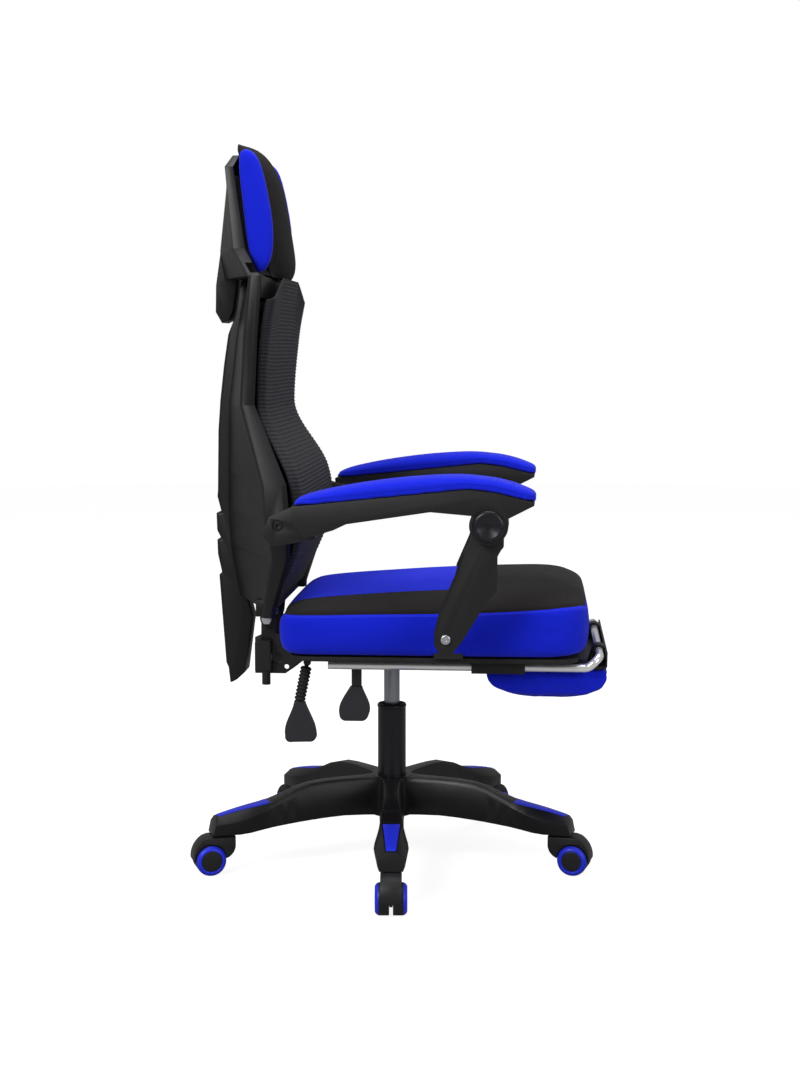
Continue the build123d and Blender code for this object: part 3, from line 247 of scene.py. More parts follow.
# ---------------------------------------------------------------- material helpers
class Shader:
    """A node material: a Principled surface with short calls for what feeds it."""

    def __init__(self, name, roughness, metallic=0.0, specular=0.5):
        self.material = bpy.data.materials.new(name)
        self.material.use_nodes = True
        self.tree = self.material.node_tree
        self.surface = self.tree.nodes["Principled BSDF"]
        self.surface.inputs["Roughness"].default_value = roughness
        self.surface.inputs["Metallic"].default_value = metallic
        self.surface.inputs["Specular IOR Level"].default_value = specular
        self.place = self.tree.nodes.new("ShaderNodeTexCoord").outputs["Object"]

    def node(self, kind, **inputs):
        made = self.tree.nodes.new(kind)
        for key, value in inputs.items():
            socket = made.inputs[key.replace("_", " ")]
            if isinstance(value, bpy.types.NodeSocket):
                self.tree.links.new(value, socket)
            else:
                socket.default_value = value
        return made

    def math(self, operation, a, b=0.0):
        made = self.tree.nodes.new("ShaderNodeMath")
        made.operation = operation
        for socket, value in zip(made.inputs, (a, b)):
            if isinstance(value, bpy.types.NodeSocket):
                self.tree.links.new(value, socket)
            else:
                socket.default_value = value
        return made.outputs[0]

    def noise(self, scale, detail=2.0, roughness=0.5):
        made = self.node(
            "ShaderNodeTexNoise", Vector=self.place, Scale=scale, Detail=detail, Roughness=roughness
        )
        return made.outputs["Fac"]

    def remap(self, value, low, high, from_low=0.0, from_high=1.0):
        made = self.tree.nodes.new("ShaderNodeMapRange")
        self.tree.links.new(value, made.inputs["Value"])
        ends = (("From Min", from_low), ("From Max", from_high), ("To Min", low), ("To Max", high))
        for key, number in ends:
            made.inputs[key].default_value = number
        return made.outputs[0]

    def mix(self, factor, a, b):
        made = self.tree.nodes.new("ShaderNodeMix")
        made.data_type = "RGBA"
        sockets = (made.inputs[0], made.inputs[6], made.inputs[7])
        for socket, value in zip(sockets, (factor, a, b)):
            if isinstance(value, bpy.types.NodeSocket):
                self.tree.links.new(value, socket)
            else:
                socket.default_value = value if isinstance(value, float) else (*value, 1.0)
        return made.outputs[2]

    def attribute(self, name):
        made = self.tree.nodes.new("ShaderNodeAttribute")
        made.attribute_name = name
        return made.outputs["Fac"]

    def colour(self, value):
        if isinstance(value, bpy.types.NodeSocket):
            self.tree.links.new(value, self.surface.inputs["Base Color"])
        else:
            self.surface.inputs["Base Color"].default_value = (*value, 1.0)

    def roughness(self, value):
        self.tree.links.new(value, self.surface.inputs["Roughness"])

    def bump(self, height, distance, strength=1.0):
        made = self.node("ShaderNodeBump", Height=height, Distance=distance, Strength=strength)
        last = self.surface.inputs["Normal"].links
        if last:
            self.tree.links.new(last[0].from_socket, made.inputs["Normal"])
        self.tree.links.new(made.outputs[0], self.surface.inputs["Normal"])

    def worn_edges(self, colour, edge_colour, amount):
        """Mixes a lighter colour in where the surface is sharply convex."""
        point = self.tree.nodes.new("ShaderNodeNewGeometry").outputs["Pointiness"]
        edge = self.remap(point, 0.0, amount, 0.53, 0.62)
        return self.mix(edge, colour, edge_colour)

    def weave(self, pitch):
        """Height of a plain weave, laid on whichever way the surface faces."""
        coordinate = self.tree.nodes.new("ShaderNodeTexCoord")
        split = self.node("ShaderNodeSeparateXYZ", Vector=self.place).outputs
        facing = self.node("ShaderNodeSeparateXYZ", Vector=coordinate.outputs["Normal"]).outputs
        waves = [self.math("SINE", self.math("MULTIPLY", axis, 2 * math.pi / pitch)) for axis in split]
        total = None
        for k in range(3):
            weight = self.math("POWER", self.math("ABSOLUTE", facing[k]), 3.0)
            cell = self.math("MULTIPLY", waves[(k + 1) % 3], waves[(k + 2) % 3])
            part = self.math("MULTIPLY", weight, cell)
            total = part if total is None else self.math("ADD", total, part)
        return total


def plastic(name, colour, roughness, grain=0.00012, grain_scale=1100.0, specular=0.32, wear=0.35):
    """Moulded plastic with a fine grain, uneven gloss and lighter edges."""
    shader = Shader(name, roughness, specular=specular)
    blotch = shader.noise(7.0, 4.0)
    dark = tuple(0.82 * c for c in colour)
    light = tuple(min(1.0, 1.2 * c + 0.002) for c in colour)
    base = shader.mix(blotch, dark, light)
    edge = tuple(min(1.0, 1.5 * c + 0.012) for c in colour)
    shader.colour(shader.worn_edges(base, edge, wear))
    shader.roughness(shader.remap(shader.noise(21.0, 3.0), roughness - 0.06, roughness + 0.08))
    shader.bump(shader.noise(grain_scale, 2.0), grain, 0.6)
    return shader.material


def metal(name, colour, roughness, scratch=0.00002, metallic=1.0):
    """Bare or plated metal with faint handling marks."""
    shader = Shader(name, roughness, metallic=metallic)
    tint = shader.noise(14.0, 3.0)
    shader.colour(shader.mix(tint, tuple(0.9 * c for c in colour), colour))
    wear = shader.noise(60.0, 5.0, 0.7)
    shader.roughness(shader.remap(wear, max(0.02, roughness - 0.04), roughness + 0.06))
    shader.bump(shader.noise(420.0, 3.0), scratch, 0.5)
    return shader.material


def fabric(name, colour, panel=None, sheen=0.25, other=None):
    """Woven polyester. With a panel attribute the colour changes where it crosses zero."""
    shader = Shader(name, 0.85, specular=0.12)
    shader.surface.inputs["Sheen Weight"].default_value = sheen
    shader.surface.inputs["Sheen Roughness"].default_value = 0.45
    cloud = shader.noise(11.0, 3.0)
    weave = shader.weave(WEAVE_PITCH)
    thread = shader.remap(weave, 0.0, 1.0, -0.8, 0.8)

    def toned(base):
        dull = tuple(0.9 * c for c in base)
        bright = tuple(min(1.0, 1.08 * c + 0.001) for c in base)
        broad = shader.mix(cloud, dull, bright)
        return shader.mix(shader.math("MULTIPLY", thread, 0.35), broad, tuple(0.55 * c for c in base))

    if panel is None:
        shader.colour(toned(colour))
    else:
        side = shader.remap(shader.attribute(panel), 0.0, 1.0, -0.0002, 0.0002)
        shader.colour(shader.mix(side, toned(other), toned(colour)))
    shader.bump(weave, 0.00022, 0.7)
    shader.bump(shader.noise(90.0, 4.0), 0.0006, 0.35)
    return shader.material


BLUE = (0.005, 0.017, 0.70)
BLACK_CLOTH = (0.0075, 0.0055, 0.0065)
BLACK_PLASTIC = (0.0055, 0.0055, 0.0065)
NYLON = (0.005, 0.005, 0.006)

blue_fabric = fabric("blue_fabric", BLUE, sheen=0.1)
seat_fabric = fabric("seat_fabric", BLUE, panel="tone", sheen=0.06, other=BLACK_CLOTH)
black_fabric = fabric("black_fabric", BLACK_CLOTH, sheen=0.04)
blue_thread = plastic("blue_thread", (0.02, 0.04, 0.62), 0.5, grain=0.0001, wear=0.0)
black_plastic = plastic("black_plastic", BLACK_PLASTIC, 0.43)
arm_plastic = plastic("arm_plastic", (0.0095, 0.009, 0.0098), 0.47)
nylon = plastic("nylon", NYLON, 0.36, grain=0.00008)
blue_plastic = plastic("blue_plastic", (0.012, 0.024, 0.62), 0.38, grain=0.00006)
wheel_black = plastic("wheel_black", (0.009, 0.009, 0.010), 0.42)
paddle_plastic = plastic("paddle_plastic", (0.022, 0.020, 0.025), 0.34, grain=0.00008)
tube_black = plastic("tube_black", (0.008, 0.008, 0.012), 0.28, grain=0.00004)
black_paint = plastic("black_paint", (0.012, 0.012, 0.013), 0.35, grain=0.00015, grain_scale=700.0)
rubber = plastic("rubber", (0.010, 0.010, 0.010), 0.55, grain=0.0001)
stained_board = plastic("stained_board", (0.010, 0.009, 0.009), 0.7, grain=0.0004, grain_scale=260.0)
zinc = metal("zinc", (0.62, 0.63, 0.65), 0.3)
chrome = metal("chrome", (0.95, 0.95, 0.95), 0.12, scratch=0.000005, metallic=0.7)
satin_steel = metal("satin_steel", (0.32, 0.33, 0.36), 0.33)


# ---------------------------------------------------------------- finishes of the CAD nodes
def dress(name, material, width, angle=24.0, segments=2):
    """Gives a CAD node its material and softens its moulded or rolled edges."""
    node = NODES[name]
    node.data.materials.clear()
    node.data.materials.append(material)
    weld = node.modifiers.new("weld", "WELD")
    weld.merge_threshold = 0.00002
    if width:
        flat = node.modifiers.new("flat", "DECIMATE")
        flat.decimate_type = "DISSOLVE"
        flat.angle_limit = math.radians(0.4)
        bevel = node.modifiers.new("bevel", "BEVEL")
        bevel.width = width
        bevel.segments = segments
        bevel.limit_method = "ANGLE"
        bevel.angle_limit = math.radians(angle)
        bevel.use_clamp_overlap = True
        bevel.harden_normals = False
        bevel.miter_outer = "MITER_ARC"
    node.data.shade_smooth()
    smooth_by_angle(node, 32.0 if width else 28.0)


def smooth_by_angle(node, degrees):
    """Splits the edges that are sharper than the angle, so they stay crisp."""
    split = node.modifiers.new("crisp", "EDGE_SPLIT")
    split.split_angle = math.radians(degrees)
    split.use_edge_sharp = False


HARD_PARTS = (
    ("five_star_base", nylon, 0.0016),
    ("base_inserts", blue_plastic, 0.0005),
    ("caster_stems", zinc, 0.0004),
    ("column_tube", tube_black, 0.0008),
    ("column_bushing", black_plastic, 0.0005),
    ("thrust_bearing", zinc, 0.0),
    ("piston_rod", zinc, 0.0),
    ("gas_cylinder", satin_steel, 0.0005),
    ("valve_pin", zinc, 0.0),
    ("seat_mechanism", black_paint, 0.0008),
    ("lift_lever_arm", black_paint, 0.0008),
    ("lift_paddle", paddle_plastic, 0.0014),
    ("recline_bracket", black_paint, 0.0006),
    ("recline_lock", black_paint, 0.0008),
    ("hinge_pin", zinc, 0.0005),
    ("recline_lever_arm", black_paint, 0.0006),
    ("recline_bellows", rubber, 0.0003),
    ("recline_paddle", paddle_plastic, 0.0014),
    ("seat_board", stained_board, 0.0008),
    ("side_brackets", black_paint, 0.0006),
    ("seat_bolts", zinc, 0.0004),
    ("footrest_guides", black_plastic, 0.0008),
    ("footrest_rail", chrome, 0.0),
    ("footrest_board", black_plastic, 0.0008),
    ("back_frame", black_plastic, 0.0022),
    ("back_spine", black_plastic, 0.0018),
    ("head_shell", black_plastic, 0.0026),
    ("arm_shell_right", arm_plastic, 0.0022),
    ("arm_shell_left", arm_plastic, 0.0022),
    ("arm_bolts", black_paint, 0.0004),
    ("strut_right", arm_plastic, 0.0020),
    ("strut_left", arm_plastic, 0.0020),
    ("strut_knob_right", tube_black, 0.0006),
    ("strut_knob_left", tube_black, 0.0006),
)
for node_name, finish, edge_width in HARD_PARTS:
    dress(node_name, finish, edge_width)

CASTERS = 5
CAP_RADIUS = 0.0179
TREAD_RADIUS = 0.0262


def dress_wheel(caster, letter):
    """Blue side ring; black cap, tread and inner face."""
    node = NODES[f"caster_wheel_{caster}{letter}"]
    joint = next(j for j in frame["joints"] if j["child"] == f"wheel_{caster}{letter}")
    centre, axis = Vector(joint["pos_m"]), Vector(joint["axis"]).normalized()
    dress(node.name, wheel_black, 0.0005)
    node.data.materials.append(blue_plastic)
    for face in node.data.polygons:
        offset = face.center - centre
        along = offset.dot(axis)
        radius = (offset - along * axis).length
        ring = CAP_RADIUS < radius < TREAD_RADIUS and abs(along) > 0.012
        face.material_index = 1 if ring else 0


for number in range(1, CASTERS + 1):
    dress(f"caster_hood_{number}", wheel_black, 0.0012)
    dress(f"caster_axle_{number}", zinc, 0.0004)
    for side_letter in "ab":
        dress_wheel(number, side_letter)

# ---------------------------------------------------------------- seat cushion
SEAT_HALF = (SEAT_HIGH.x - SEAT_LOW.x) / 2
SEAT_FRONT, SEAT_REAR = SEAT_LOW.y, SEAT_HIGH.y
FRONT_RADIUS, REAR_RADIUS = 0.080, 0.046
SEAT_MIDDLE = -0.087
PANEL_HALF = 0.156
PANEL_FRONT, PANEL_REAR = -0.128, 0.25          # the panel's rear end is past the cushion's
PANEL_CORNER = 0.022
# distance along the seat, height
SIDE_SEAM = (
    (-0.345, 0.4800), (-0.338, 0.4860), (-0.326, 0.4900), (-0.306, 0.4905), (-0.270, 0.4880),
    (-0.167, 0.4815), (-0.083, 0.479), (0.016, 0.477), (0.098, 0.475), (0.148, 0.474), (0.163, 0.472),
    (0.174, 0.467),
)
CROWN = (
    (-0.345, 0.489), (-0.339, 0.500), (-0.328, 0.509), (-0.308, 0.5185), (-0.288, 0.523), (-0.262, 0.525),
    (-0.160, 0.523), (-0.058, 0.518), (0.011, 0.5125), (0.099, 0.504), (0.148, 0.495), (0.165, 0.483),
    (0.174, 0.468),
)


def half_width(y):
    """Half the seat's width at a distance along it, with rounded corners in plan."""
    y = np.asarray(y, float)
    front = np.clip(FRONT_RADIUS - (y - SEAT_FRONT), 0, FRONT_RADIUS)
    rear = np.clip(REAR_RADIUS - (SEAT_REAR - y), 0, REAR_RADIUS)
    front_cut = FRONT_RADIUS - np.sqrt(FRONT_RADIUS**2 - front**2)
    cut = front_cut + REAR_RADIUS - np.sqrt(REAR_RADIUS**2 - rear**2)
    return SEAT_HALF - cut


def top_height(x, y):
    seam, crown = smooth_interp(y, SIDE_SEAM), smooth_interp(y, CROWN)
    across = np.clip(np.abs(x) / np.maximum(half_width(y), 0.001), 0, 1)
    return seam + (crown - seam) * (1 - across**3.2)


def outline(inset, count=200):
    """Points round the seat's plan, moved in by an inset."""
    points = []
    corners = (
        (SEAT_HALF, SEAT_FRONT, -1, FRONT_RADIUS, -90), (SEAT_HALF, SEAT_REAR, 1, REAR_RADIUS, 0),
        (-SEAT_HALF, SEAT_REAR, 1, REAR_RADIUS, 90), (-SEAT_HALF, SEAT_FRONT, -1, FRONT_RADIUS, 180),
    )
    for x, y, way, radius, start in corners:
        centre = (x - math.copysign(radius, x), y - way * radius)
        for k in range(13):
            angle = math.radians(start + 7.5 * k)
            reach = radius - inset
            points.append((centre[0] + reach * math.cos(angle), centre[1] + reach * math.sin(angle)))
    loop = np.array(points + points[:1])
    steps = np.linalg.norm(np.diff(loop, axis=0), axis=1)
    length = np.concatenate([[0], np.cumsum(steps)])
    even = np.linspace(0, length[-1], count, endpoint=False)
    return np.stack([np.interp(even, length, loop[:, axis]) for axis in (0, 1)], axis=1)


def plan_distance(points):
    """Distance from the plan's outline, positive inside."""
    gap_x = half_width(points[:, 1]) - np.abs(points[:, 0])
    gap_y = np.minimum(points[:, 1] - SEAT_FRONT, SEAT_REAR - points[:, 1])
    return np.minimum(gap_x, gap_y)


def panel_distance(points):
    """Distance in plan from the edge of the blue centre panel, negative inside."""
    middle = (PANEL_FRONT + PANEL_REAR) / 2
    over_x = np.abs(points[:, 0]) - (PANEL_HALF - PANEL_CORNER)
    over_y = np.abs(points[:, 1] - middle) - (PANEL_REAR - PANEL_FRONT) / 2 + PANEL_CORNER
    outside = np.hypot(np.maximum(over_x, 0), np.maximum(over_y, 0))
    return outside + np.minimum(np.maximum(over_x, over_y), 0) - PANEL_CORNER


def ring_solid(name, rings, material):
    """Closes a stack of equal-length point rings into a solid."""
    count = len(rings[0])
    points = [p for ring in rings for p in ring]
    faces = []
    for level in range(len(rings) - 1):
        for k in range(count):
            m = (k + 1) % count
            a, b = level * count, (level + 1) * count
            faces.append((a + k, a + m, b + m, b + k))
    for level, flip in ((0, True), (len(rings) - 1, False)):
        middle = np.mean(np.array(rings[level]), axis=0)
        points.append(middle)
        centre = len(points) - 1
        base = level * count
        for k in range(count):
            m = (k + 1) % count
            faces.append((base + m, base + k, centre) if flip else (base + k, base + m, centre))
    return link_mesh(name, points, faces, material)


# inset in plan and height over the base, up the rounded lower edge
SEAT_FOOT = ((0.05, 0.0), (0.034, 0.0), (0.014, 0.003), (0.005, 0.012), (0.002, 0.03))
CROWN_SHARES = (0.985, 0.965, 0.93, 0.88, 0.82, 0.74, 0.64, 0.5, 0.35, 0.2, 0.08)


def seam_height(y):
    return float(smooth_interp(y, SIDE_SEAM))


def build_seat():
    """Crowned cushion: blue band, black top and blue centre panel, told apart by "tone"."""
    base = SEAT_LOW.z + 0.0012
    rings = []
    for inset, rise in SEAT_FOOT:
        rings.append([(x, y, base + rise) for x, y in outline(inset)])
    loop = outline(0.003)
    band = outline(0.0015)
    rings.append([(x, y, 0.5 * (base + 0.03) + 0.5 * seam_height(y)) for x, y in band])
    rings.append([(x, y, seam_height(y) - 0.007) for x, y in loop])
    centre_y = (SEAT_FRONT + SEAT_REAR) / 2
    for share in CROWN_SHARES:
        inner = np.array([(x * share, centre_y + (y - centre_y) * share) for x, y in loop])
        heights = top_height(inner[:, 0], inner[:, 1]) - 0.003
        rings.append([(p[0], p[1], h) for p, h in zip(inner, heights)])
    seat = ring_solid("seat_cover", rings, seat_fabric)
    remesh(seat, FABRIC_VOXEL, 4)
    points = get_points(seat.data)
    seam_gap = points[:, 2] - smooth_interp(points[:, 1], SIDE_SEAM)
    near_edge = plan_distance(points) < 0.022
    on_seam = near_edge & (np.abs(seam_gap + 0.001) < 0.0036)
    on_panel = (np.abs(panel_distance(points)) < 0.0034) & (seam_gap > 0.004)
    underneath = points[:, 2] < base + 0.004
    inflate(seat, 3.2, 0.0065, np.nonzero(on_seam | on_panel | underneath)[0])
    subdivide(seat)
    points = get_points(seat.data)
    points[:, 1] = np.minimum(points[:, 1], SEAT_REAR + 0.0008)
    set_points(seat.data, points)
    seam_gap = points[:, 2] - smooth_interp(points[:, 1], SIDE_SEAM)
    panel_gap = panel_distance(points)
    edge = plan_distance(points) < 0.03
    side_line = np.where(edge, np.abs(seam_gap), 1.0)
    panel_line = np.where(seam_gap > 0.002, np.abs(panel_gap), 1.0)
    press_groove(seat, np.minimum(side_line, panel_line), 0.0016, 0.0026)
    tone = np.maximum(-seam_gap, np.where(seam_gap > 0.0, -panel_gap, -1.0))
    paint(seat, "tone", np.where(edge, tone, np.where(points[:, 2] < 0.45, 0.01, -panel_gap)))
    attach(seat, "seat")
    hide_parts("seat_cushion")
    return seat


seat_cover = build_seat()


def seat_stitching():
    """Top stitching on both sides of the panel seam and above the side seam."""
    tree = surface_tree(seat_cover)

    def drop(x, y):
        hit, normal, _, _ = tree.ray_cast(Vector((x, y, 0.7)), Vector((0, 0, -1)))
        return hit, normal

    runs = []
    for offset in (-0.0042, 0.0042):
        half, front = PANEL_HALF + offset, PANEL_FRONT - offset
        corner = PANEL_CORNER + offset
        flank = [(-half, SEAT_REAR - 0.03 - 0.004 * k) for k in range(62)]
        flank = [p for p in flank if p[1] > front + corner]
        for a in np.linspace(0, math.pi / 2, 9):
            flank.append((-half + corner - corner * math.cos(a), front + corner - corner * math.sin(a)))
        across = [(x, front) for x in np.linspace(-half + corner, half - corner, 70)[1:-1]]
        path = flank + across + [(-x, y) for x, y in reversed(flank)]
        runs.append([drop(x, y) for x, y in path])
    side_run = []
    for x, y in outline(0.0, 420):
        height = seam_height(y) - 0.0045
        target = Vector((x * 0.8, SEAT_MIDDLE + (y - SEAT_MIDDLE) * 0.8, height))
        start = Vector((x * 1.3, SEAT_MIDDLE + (y - SEAT_MIDDLE) * 1.3, height))
        hit, normal, _, _ = tree.ray_cast(start, (target - start).normalized())
        if hit is not None:
            side_run.append((hit, normal))
    runs.append(side_run)
    thread = stitches("seat_stitching", runs, blue_thread)
    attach(thread, "seat")


seat_stitching()

# ---------------------------------------------------------------- footrest pad
# share of the half width, share of the section's depth
FOOT_ENDS = (
    (-1.0, 0.90), (-0.985, 0.965), (-0.955, 0.992), (-0.9, 1.0),
    (0.9, 1.0), (0.955, 0.992), (0.985, 0.965), (1.0, 0.90),
)
FOOT_PROFILE = (
    (-0.3745, 0.3775), (-0.3760, 0.360), (-0.3680, 0.3430), (-0.342, 0.3320), (-0.300, 0.3295),
    (-0.262, 0.3295), (-0.212, 0.3345), (-0.184, 0.3445), (-0.1735, 0.357), (-0.1710, 0.3775),
)


def build_footrest():
    """A padded panel that hangs under its board while stowed."""
    low, high = FOOT_LOW, FOOT_HIGH
    middle = (low.y + high.y) / 2
    top = high.z - 0.0015
    half = high.x - 0.0035
    rings = []
    for along, shrink in FOOT_ENDS:
        squeeze = 1 - (1 - shrink) * 0.25
        rings.append([
            (along * half, middle + (y - middle) * squeeze, top - (top - z) * shrink)
            for y, z in FOOT_PROFILE
        ])
    pad = ring_solid("footrest_cover", rings, blue_fabric)
    remesh(pad, 0.0045, 6)
    points = get_points(pad.data)
    inflate(pad, 3.0, 0.0045, np.nonzero(points[:, 2] > high.z - 0.006)[0])
    subdivide(pad)
    points = get_points(pad.data)
    points[:, 2] = np.minimum(points[:, 2], high.z - 0.0006)
    set_points(pad.data, points)
    seam = np.abs(points[:, 2] - (high.z - 0.011))
    press_groove(pad, seam, 0.0012, 0.0022)
    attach(pad, "footrest")
    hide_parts("footrest_pad")


build_footrest()

# ---------------------------------------------------------------- head pad
HEAD_HALF = 0.116
HEAD_FRONT = (
    (1.0285, 0.1800), (1.036, 0.1755), (1.046, 0.1720), (1.060, 0.1710), (1.082, 0.1735), (1.117, 0.1790),
    (1.160, 0.1860), (1.203, 0.1965), (1.234, 0.2130), (1.250, 0.2275), (1.2565, 0.2400),
)
HEAD_REAR = (
    (1.0285, 0.1940), (1.078, 0.2280), (1.214, 0.2470), (1.238, 0.2510), (1.249, 0.2540), (1.2565, 0.2520),
)


def head_ring(height):
    front, rear = float(smooth_interp(height, HEAD_FRONT)), float(interp(height, HEAD_REAR))
    crown = max(0.0, (height - 1.225) / 0.035)
    half = HEAD_HALF - 0.020 * crown**2
    ring = []
    for share in np.linspace(-1, 1, 29):
        bow = 0.028 * abs(share) ** 2.2
        ring.append((share * half, min(front + bow, rear - 0.004), height))
    for share in np.linspace(1, -1, 13):
        ring.append((share * half, rear, height))
    return ring


def build_head_centre():
    """Black middle of the head pad, bowed back towards its sides."""
    heights = np.concatenate(
        [[1.0290, 1.0335], np.linspace(1.040, 1.236, 30), [1.243, 1.249, 1.2535, 1.2562]]
    )
    pad = ring_solid("head_pad_centre", [head_ring(h) for h in heights], black_fabric)
    remesh(pad, 0.0045, 6)
    points = get_points(pad.data)
    rear = points[:, 1] > interp(points[:, 2], HEAD_REAR) - 0.006
    inflate(pad, 3.0, 0.0045, np.nonzero(rear)[0])
    subdivide(pad)
    points = get_points(pad.data)
    limit = interp(points[:, 2], HEAD_REAR)
    points[:, 1] = np.minimum(points[:, 1], limit + 0.0002)
    set_points(pad.data, points)
    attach(pad, "back")
    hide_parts("head_pad")


WING_FRONT = (
    (1.0375, 0.2145), (1.0420, 0.2055), (1.0520, 0.1980), (1.0710, 0.1920), (1.100, 0.1900), (1.126, 0.1915),
    (1.162, 0.1970), (1.200, 0.2050), (1.225, 0.2130), (1.238, 0.2220), (1.2445, 0.2320),
)
WING_REAR = (
    (1.0375, 0.2180), (1.0450, 0.2215), (1.0540, 0.2255), (1.079, 0.2335), (1.162, 0.2430), (1.216, 0.2480),
    (1.236, 0.2470), (1.2445, 0.2400),
)


def build_head_wing(side):
    """Capsule-shaped blue panel on one side of the head pad."""
    name = "right" if side < 0 else "left"
    heights = np.concatenate([[1.0378, 1.0395], np.linspace(1.043, 1.236, 26), [1.2405, 1.2438]])
    rings = []
    for height in heights:
        front, rear = float(smooth_interp(height, WING_FRONT)), float(smooth_interp(height, WING_REAR))
        middle, reach = (front + rear) / 2, (rear - front) / 2
        depth = 0.0135 * min(1.0, reach / 0.016) ** 0.5
        ring = []
        for k in range(24):
            angle = 2 * math.pi * k / 24
            across = math.copysign(abs(math.cos(angle)) ** 0.75, math.cos(angle))
            out = math.copysign(abs(math.sin(angle)) ** 0.75, math.sin(angle))
            ring.append((side * (0.1185 + depth * out), middle + reach * across, height))
        rings.append(ring if side > 0 else ring[::-1])
    wing = ring_solid(f"head_pad_wing_{name}", rings, blue_fabric)
    remesh(wing, 0.004, 4)
    points = get_points(wing.data)
    inflate(wing, 2.5, 0.003, np.nonzero(np.abs(points[:, 0]) < 0.112)[0])
    subdivide(wing)
    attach(wing, "back")


build_head_centre()
build_head_wing(-1)
build_head_wing(1)

# ---------------------------------------------------------------- back mesh
RIB_PITCH = 0.0064
RIB_HEIGHT = 0.0013
# height, half width, front y, y of the rolled edge
MESH_PROFILE = (
    (0.486, 0.186, 0.179, 0.1848), (0.510, 0.196, 0.169, 0.1738), (0.540, 0.204, 0.153, 0.1588),
    (0.600, 0.222, 0.133, 0.1448), (0.655, 0.236, 0.130, 0.1448), (0.690, 0.234, 0.136, 0.1498),
    (0.818, 0.196, 0.195, 0.2068), (0.930, 0.204, 0.187, 0.2008), (1.024, 0.204, 0.176, 0.1898),
)
MESH_ROLL = 0.022
ARCH_HALF = 0.095          # the top edge is level this far out, then slopes to the shoulders
ARCH_SLOPE = 0.33
ARCH_START = 0.90
mesh_shader = Shader("ribbed_mesh", 0.62, specular=0.3)
mesh_shader.surface.inputs["Sheen Weight"].default_value = 0.04
# Painted highlight and shade: the ridges of the ribs are painted a lighter grey-navy as a painted highlight,
# and the grooves between them near-black as painted shade; the speckle is the yarn's own mottling.
ridge_highlight = mesh_shader.remap(mesh_shader.attribute("rib"), 0.0, 1.0, 0.45, 1.0)
speckle = mesh_shader.noise(900.0, 2.0)
lit_yarn = mesh_shader.mix(speckle, (0.012, 0.012, 0.018), (0.032, 0.031, 0.044))
# Near-black in the grooves is painted shade; the lighter yarn colour on the ridges is painted highlight.
mesh_shader.colour(mesh_shader.mix(ridge_highlight, (0.0035, 0.0033, 0.0055), lit_yarn))
mesh_shader.bump(mesh_shader.weave(0.0016), 0.0003, 0.8)
ribbed_mesh = mesh_shader.material


def build_back_mesh():
    """Stretched ribbed mesh whose edges roll back to the side rails."""
    rows = np.arange(MESH_LOW.z + 0.0006, MESH_HIGH.z + 0.006, RIB_PITCH / 6)
    columns = np.concatenate(
        [np.linspace(-1, -0.86, 9)[:-1], np.linspace(-0.86, 0.86, 44), np.linspace(0.86, 1, 9)[1:]]
    )
    table = np.array(MESH_PROFILE)
    points, ribs = [], []
    for z in rows:
        half = float(smooth_interp(z, table[:, [0, 1]]))
        front = float(smooth_interp(z, table[:, [0, 2]]))
        rear = float(smooth_interp(z, table[:, [0, 3]]))
        for share in columns:
            x = share * half
            edge = max(0.0, (abs(x) - (half - MESH_ROLL)) / MESH_ROLL)
            y = front + (rear - front) * (1 - math.sqrt(max(0.0, 1 - edge**2)))
            phase = (z - 0.0035 * abs(share) ** 7) / RIB_PITCH
            rib = (0.5 + 0.5 * math.cos(2 * math.pi * phase)) ** 1.3
            fade = 1 - 0.75 * edge**4
            slope = max(0.0, abs(x) - ARCH_HALF) * ARCH_SLOPE
            drop = slope * max(0.0, (z - ARCH_START) / (MESH_HIGH.z - ARCH_START)) ** 1.5
            points.append((x, y - RIB_HEIGHT * rib * fade + RIB_HEIGHT, z - drop))
            ribs.append(rib)
    width = len(columns)
    faces = [
        (r * width + c, r * width + c + 1, (r + 1) * width + c + 1, (r + 1) * width + c)
        for r in range(len(rows) - 1) for c in range(width - 1)
    ]
    cloth = link_mesh("back_mesh_cloth", points, faces, ribbed_mesh)
    # The rib height also sets the colour: lighter on the ridges as painted highlight, darker in the grooves
    # as painted shade.
    paint(cloth, "rib", ribs)
    thick = cloth.modifiers.new("thickness", "SOLIDIFY")
    thick.thickness = 0.0012
    thick.offset = 1.0 if cloth.data.polygons[0].normal.y > 0 else -1.0
    apply_modifiers(cloth)
    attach(cloth, "back")
    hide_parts("back_mesh")


build_back_mesh()

# ---------------------------------------------------------------- arm pads
PAD_UNDER = ((-0.252, 0.6712), (-0.190, 0.6862), (-0.147, 0.6912), (-0.048, 0.6807), (0.133, 0.6622))
PAD_OVER = (
    (-0.2565, 0.680), (-0.2530, 0.6885), (-0.240, 0.6950), (-0.213, 0.7045), (-0.182, 0.7110),
    (-0.131, 0.7150), (-0.072, 0.7120), (0.007, 0.7030), (0.086, 0.6885), (0.118, 0.6790),
    (0.130, 0.6715), (0.1325, 0.6660),
)


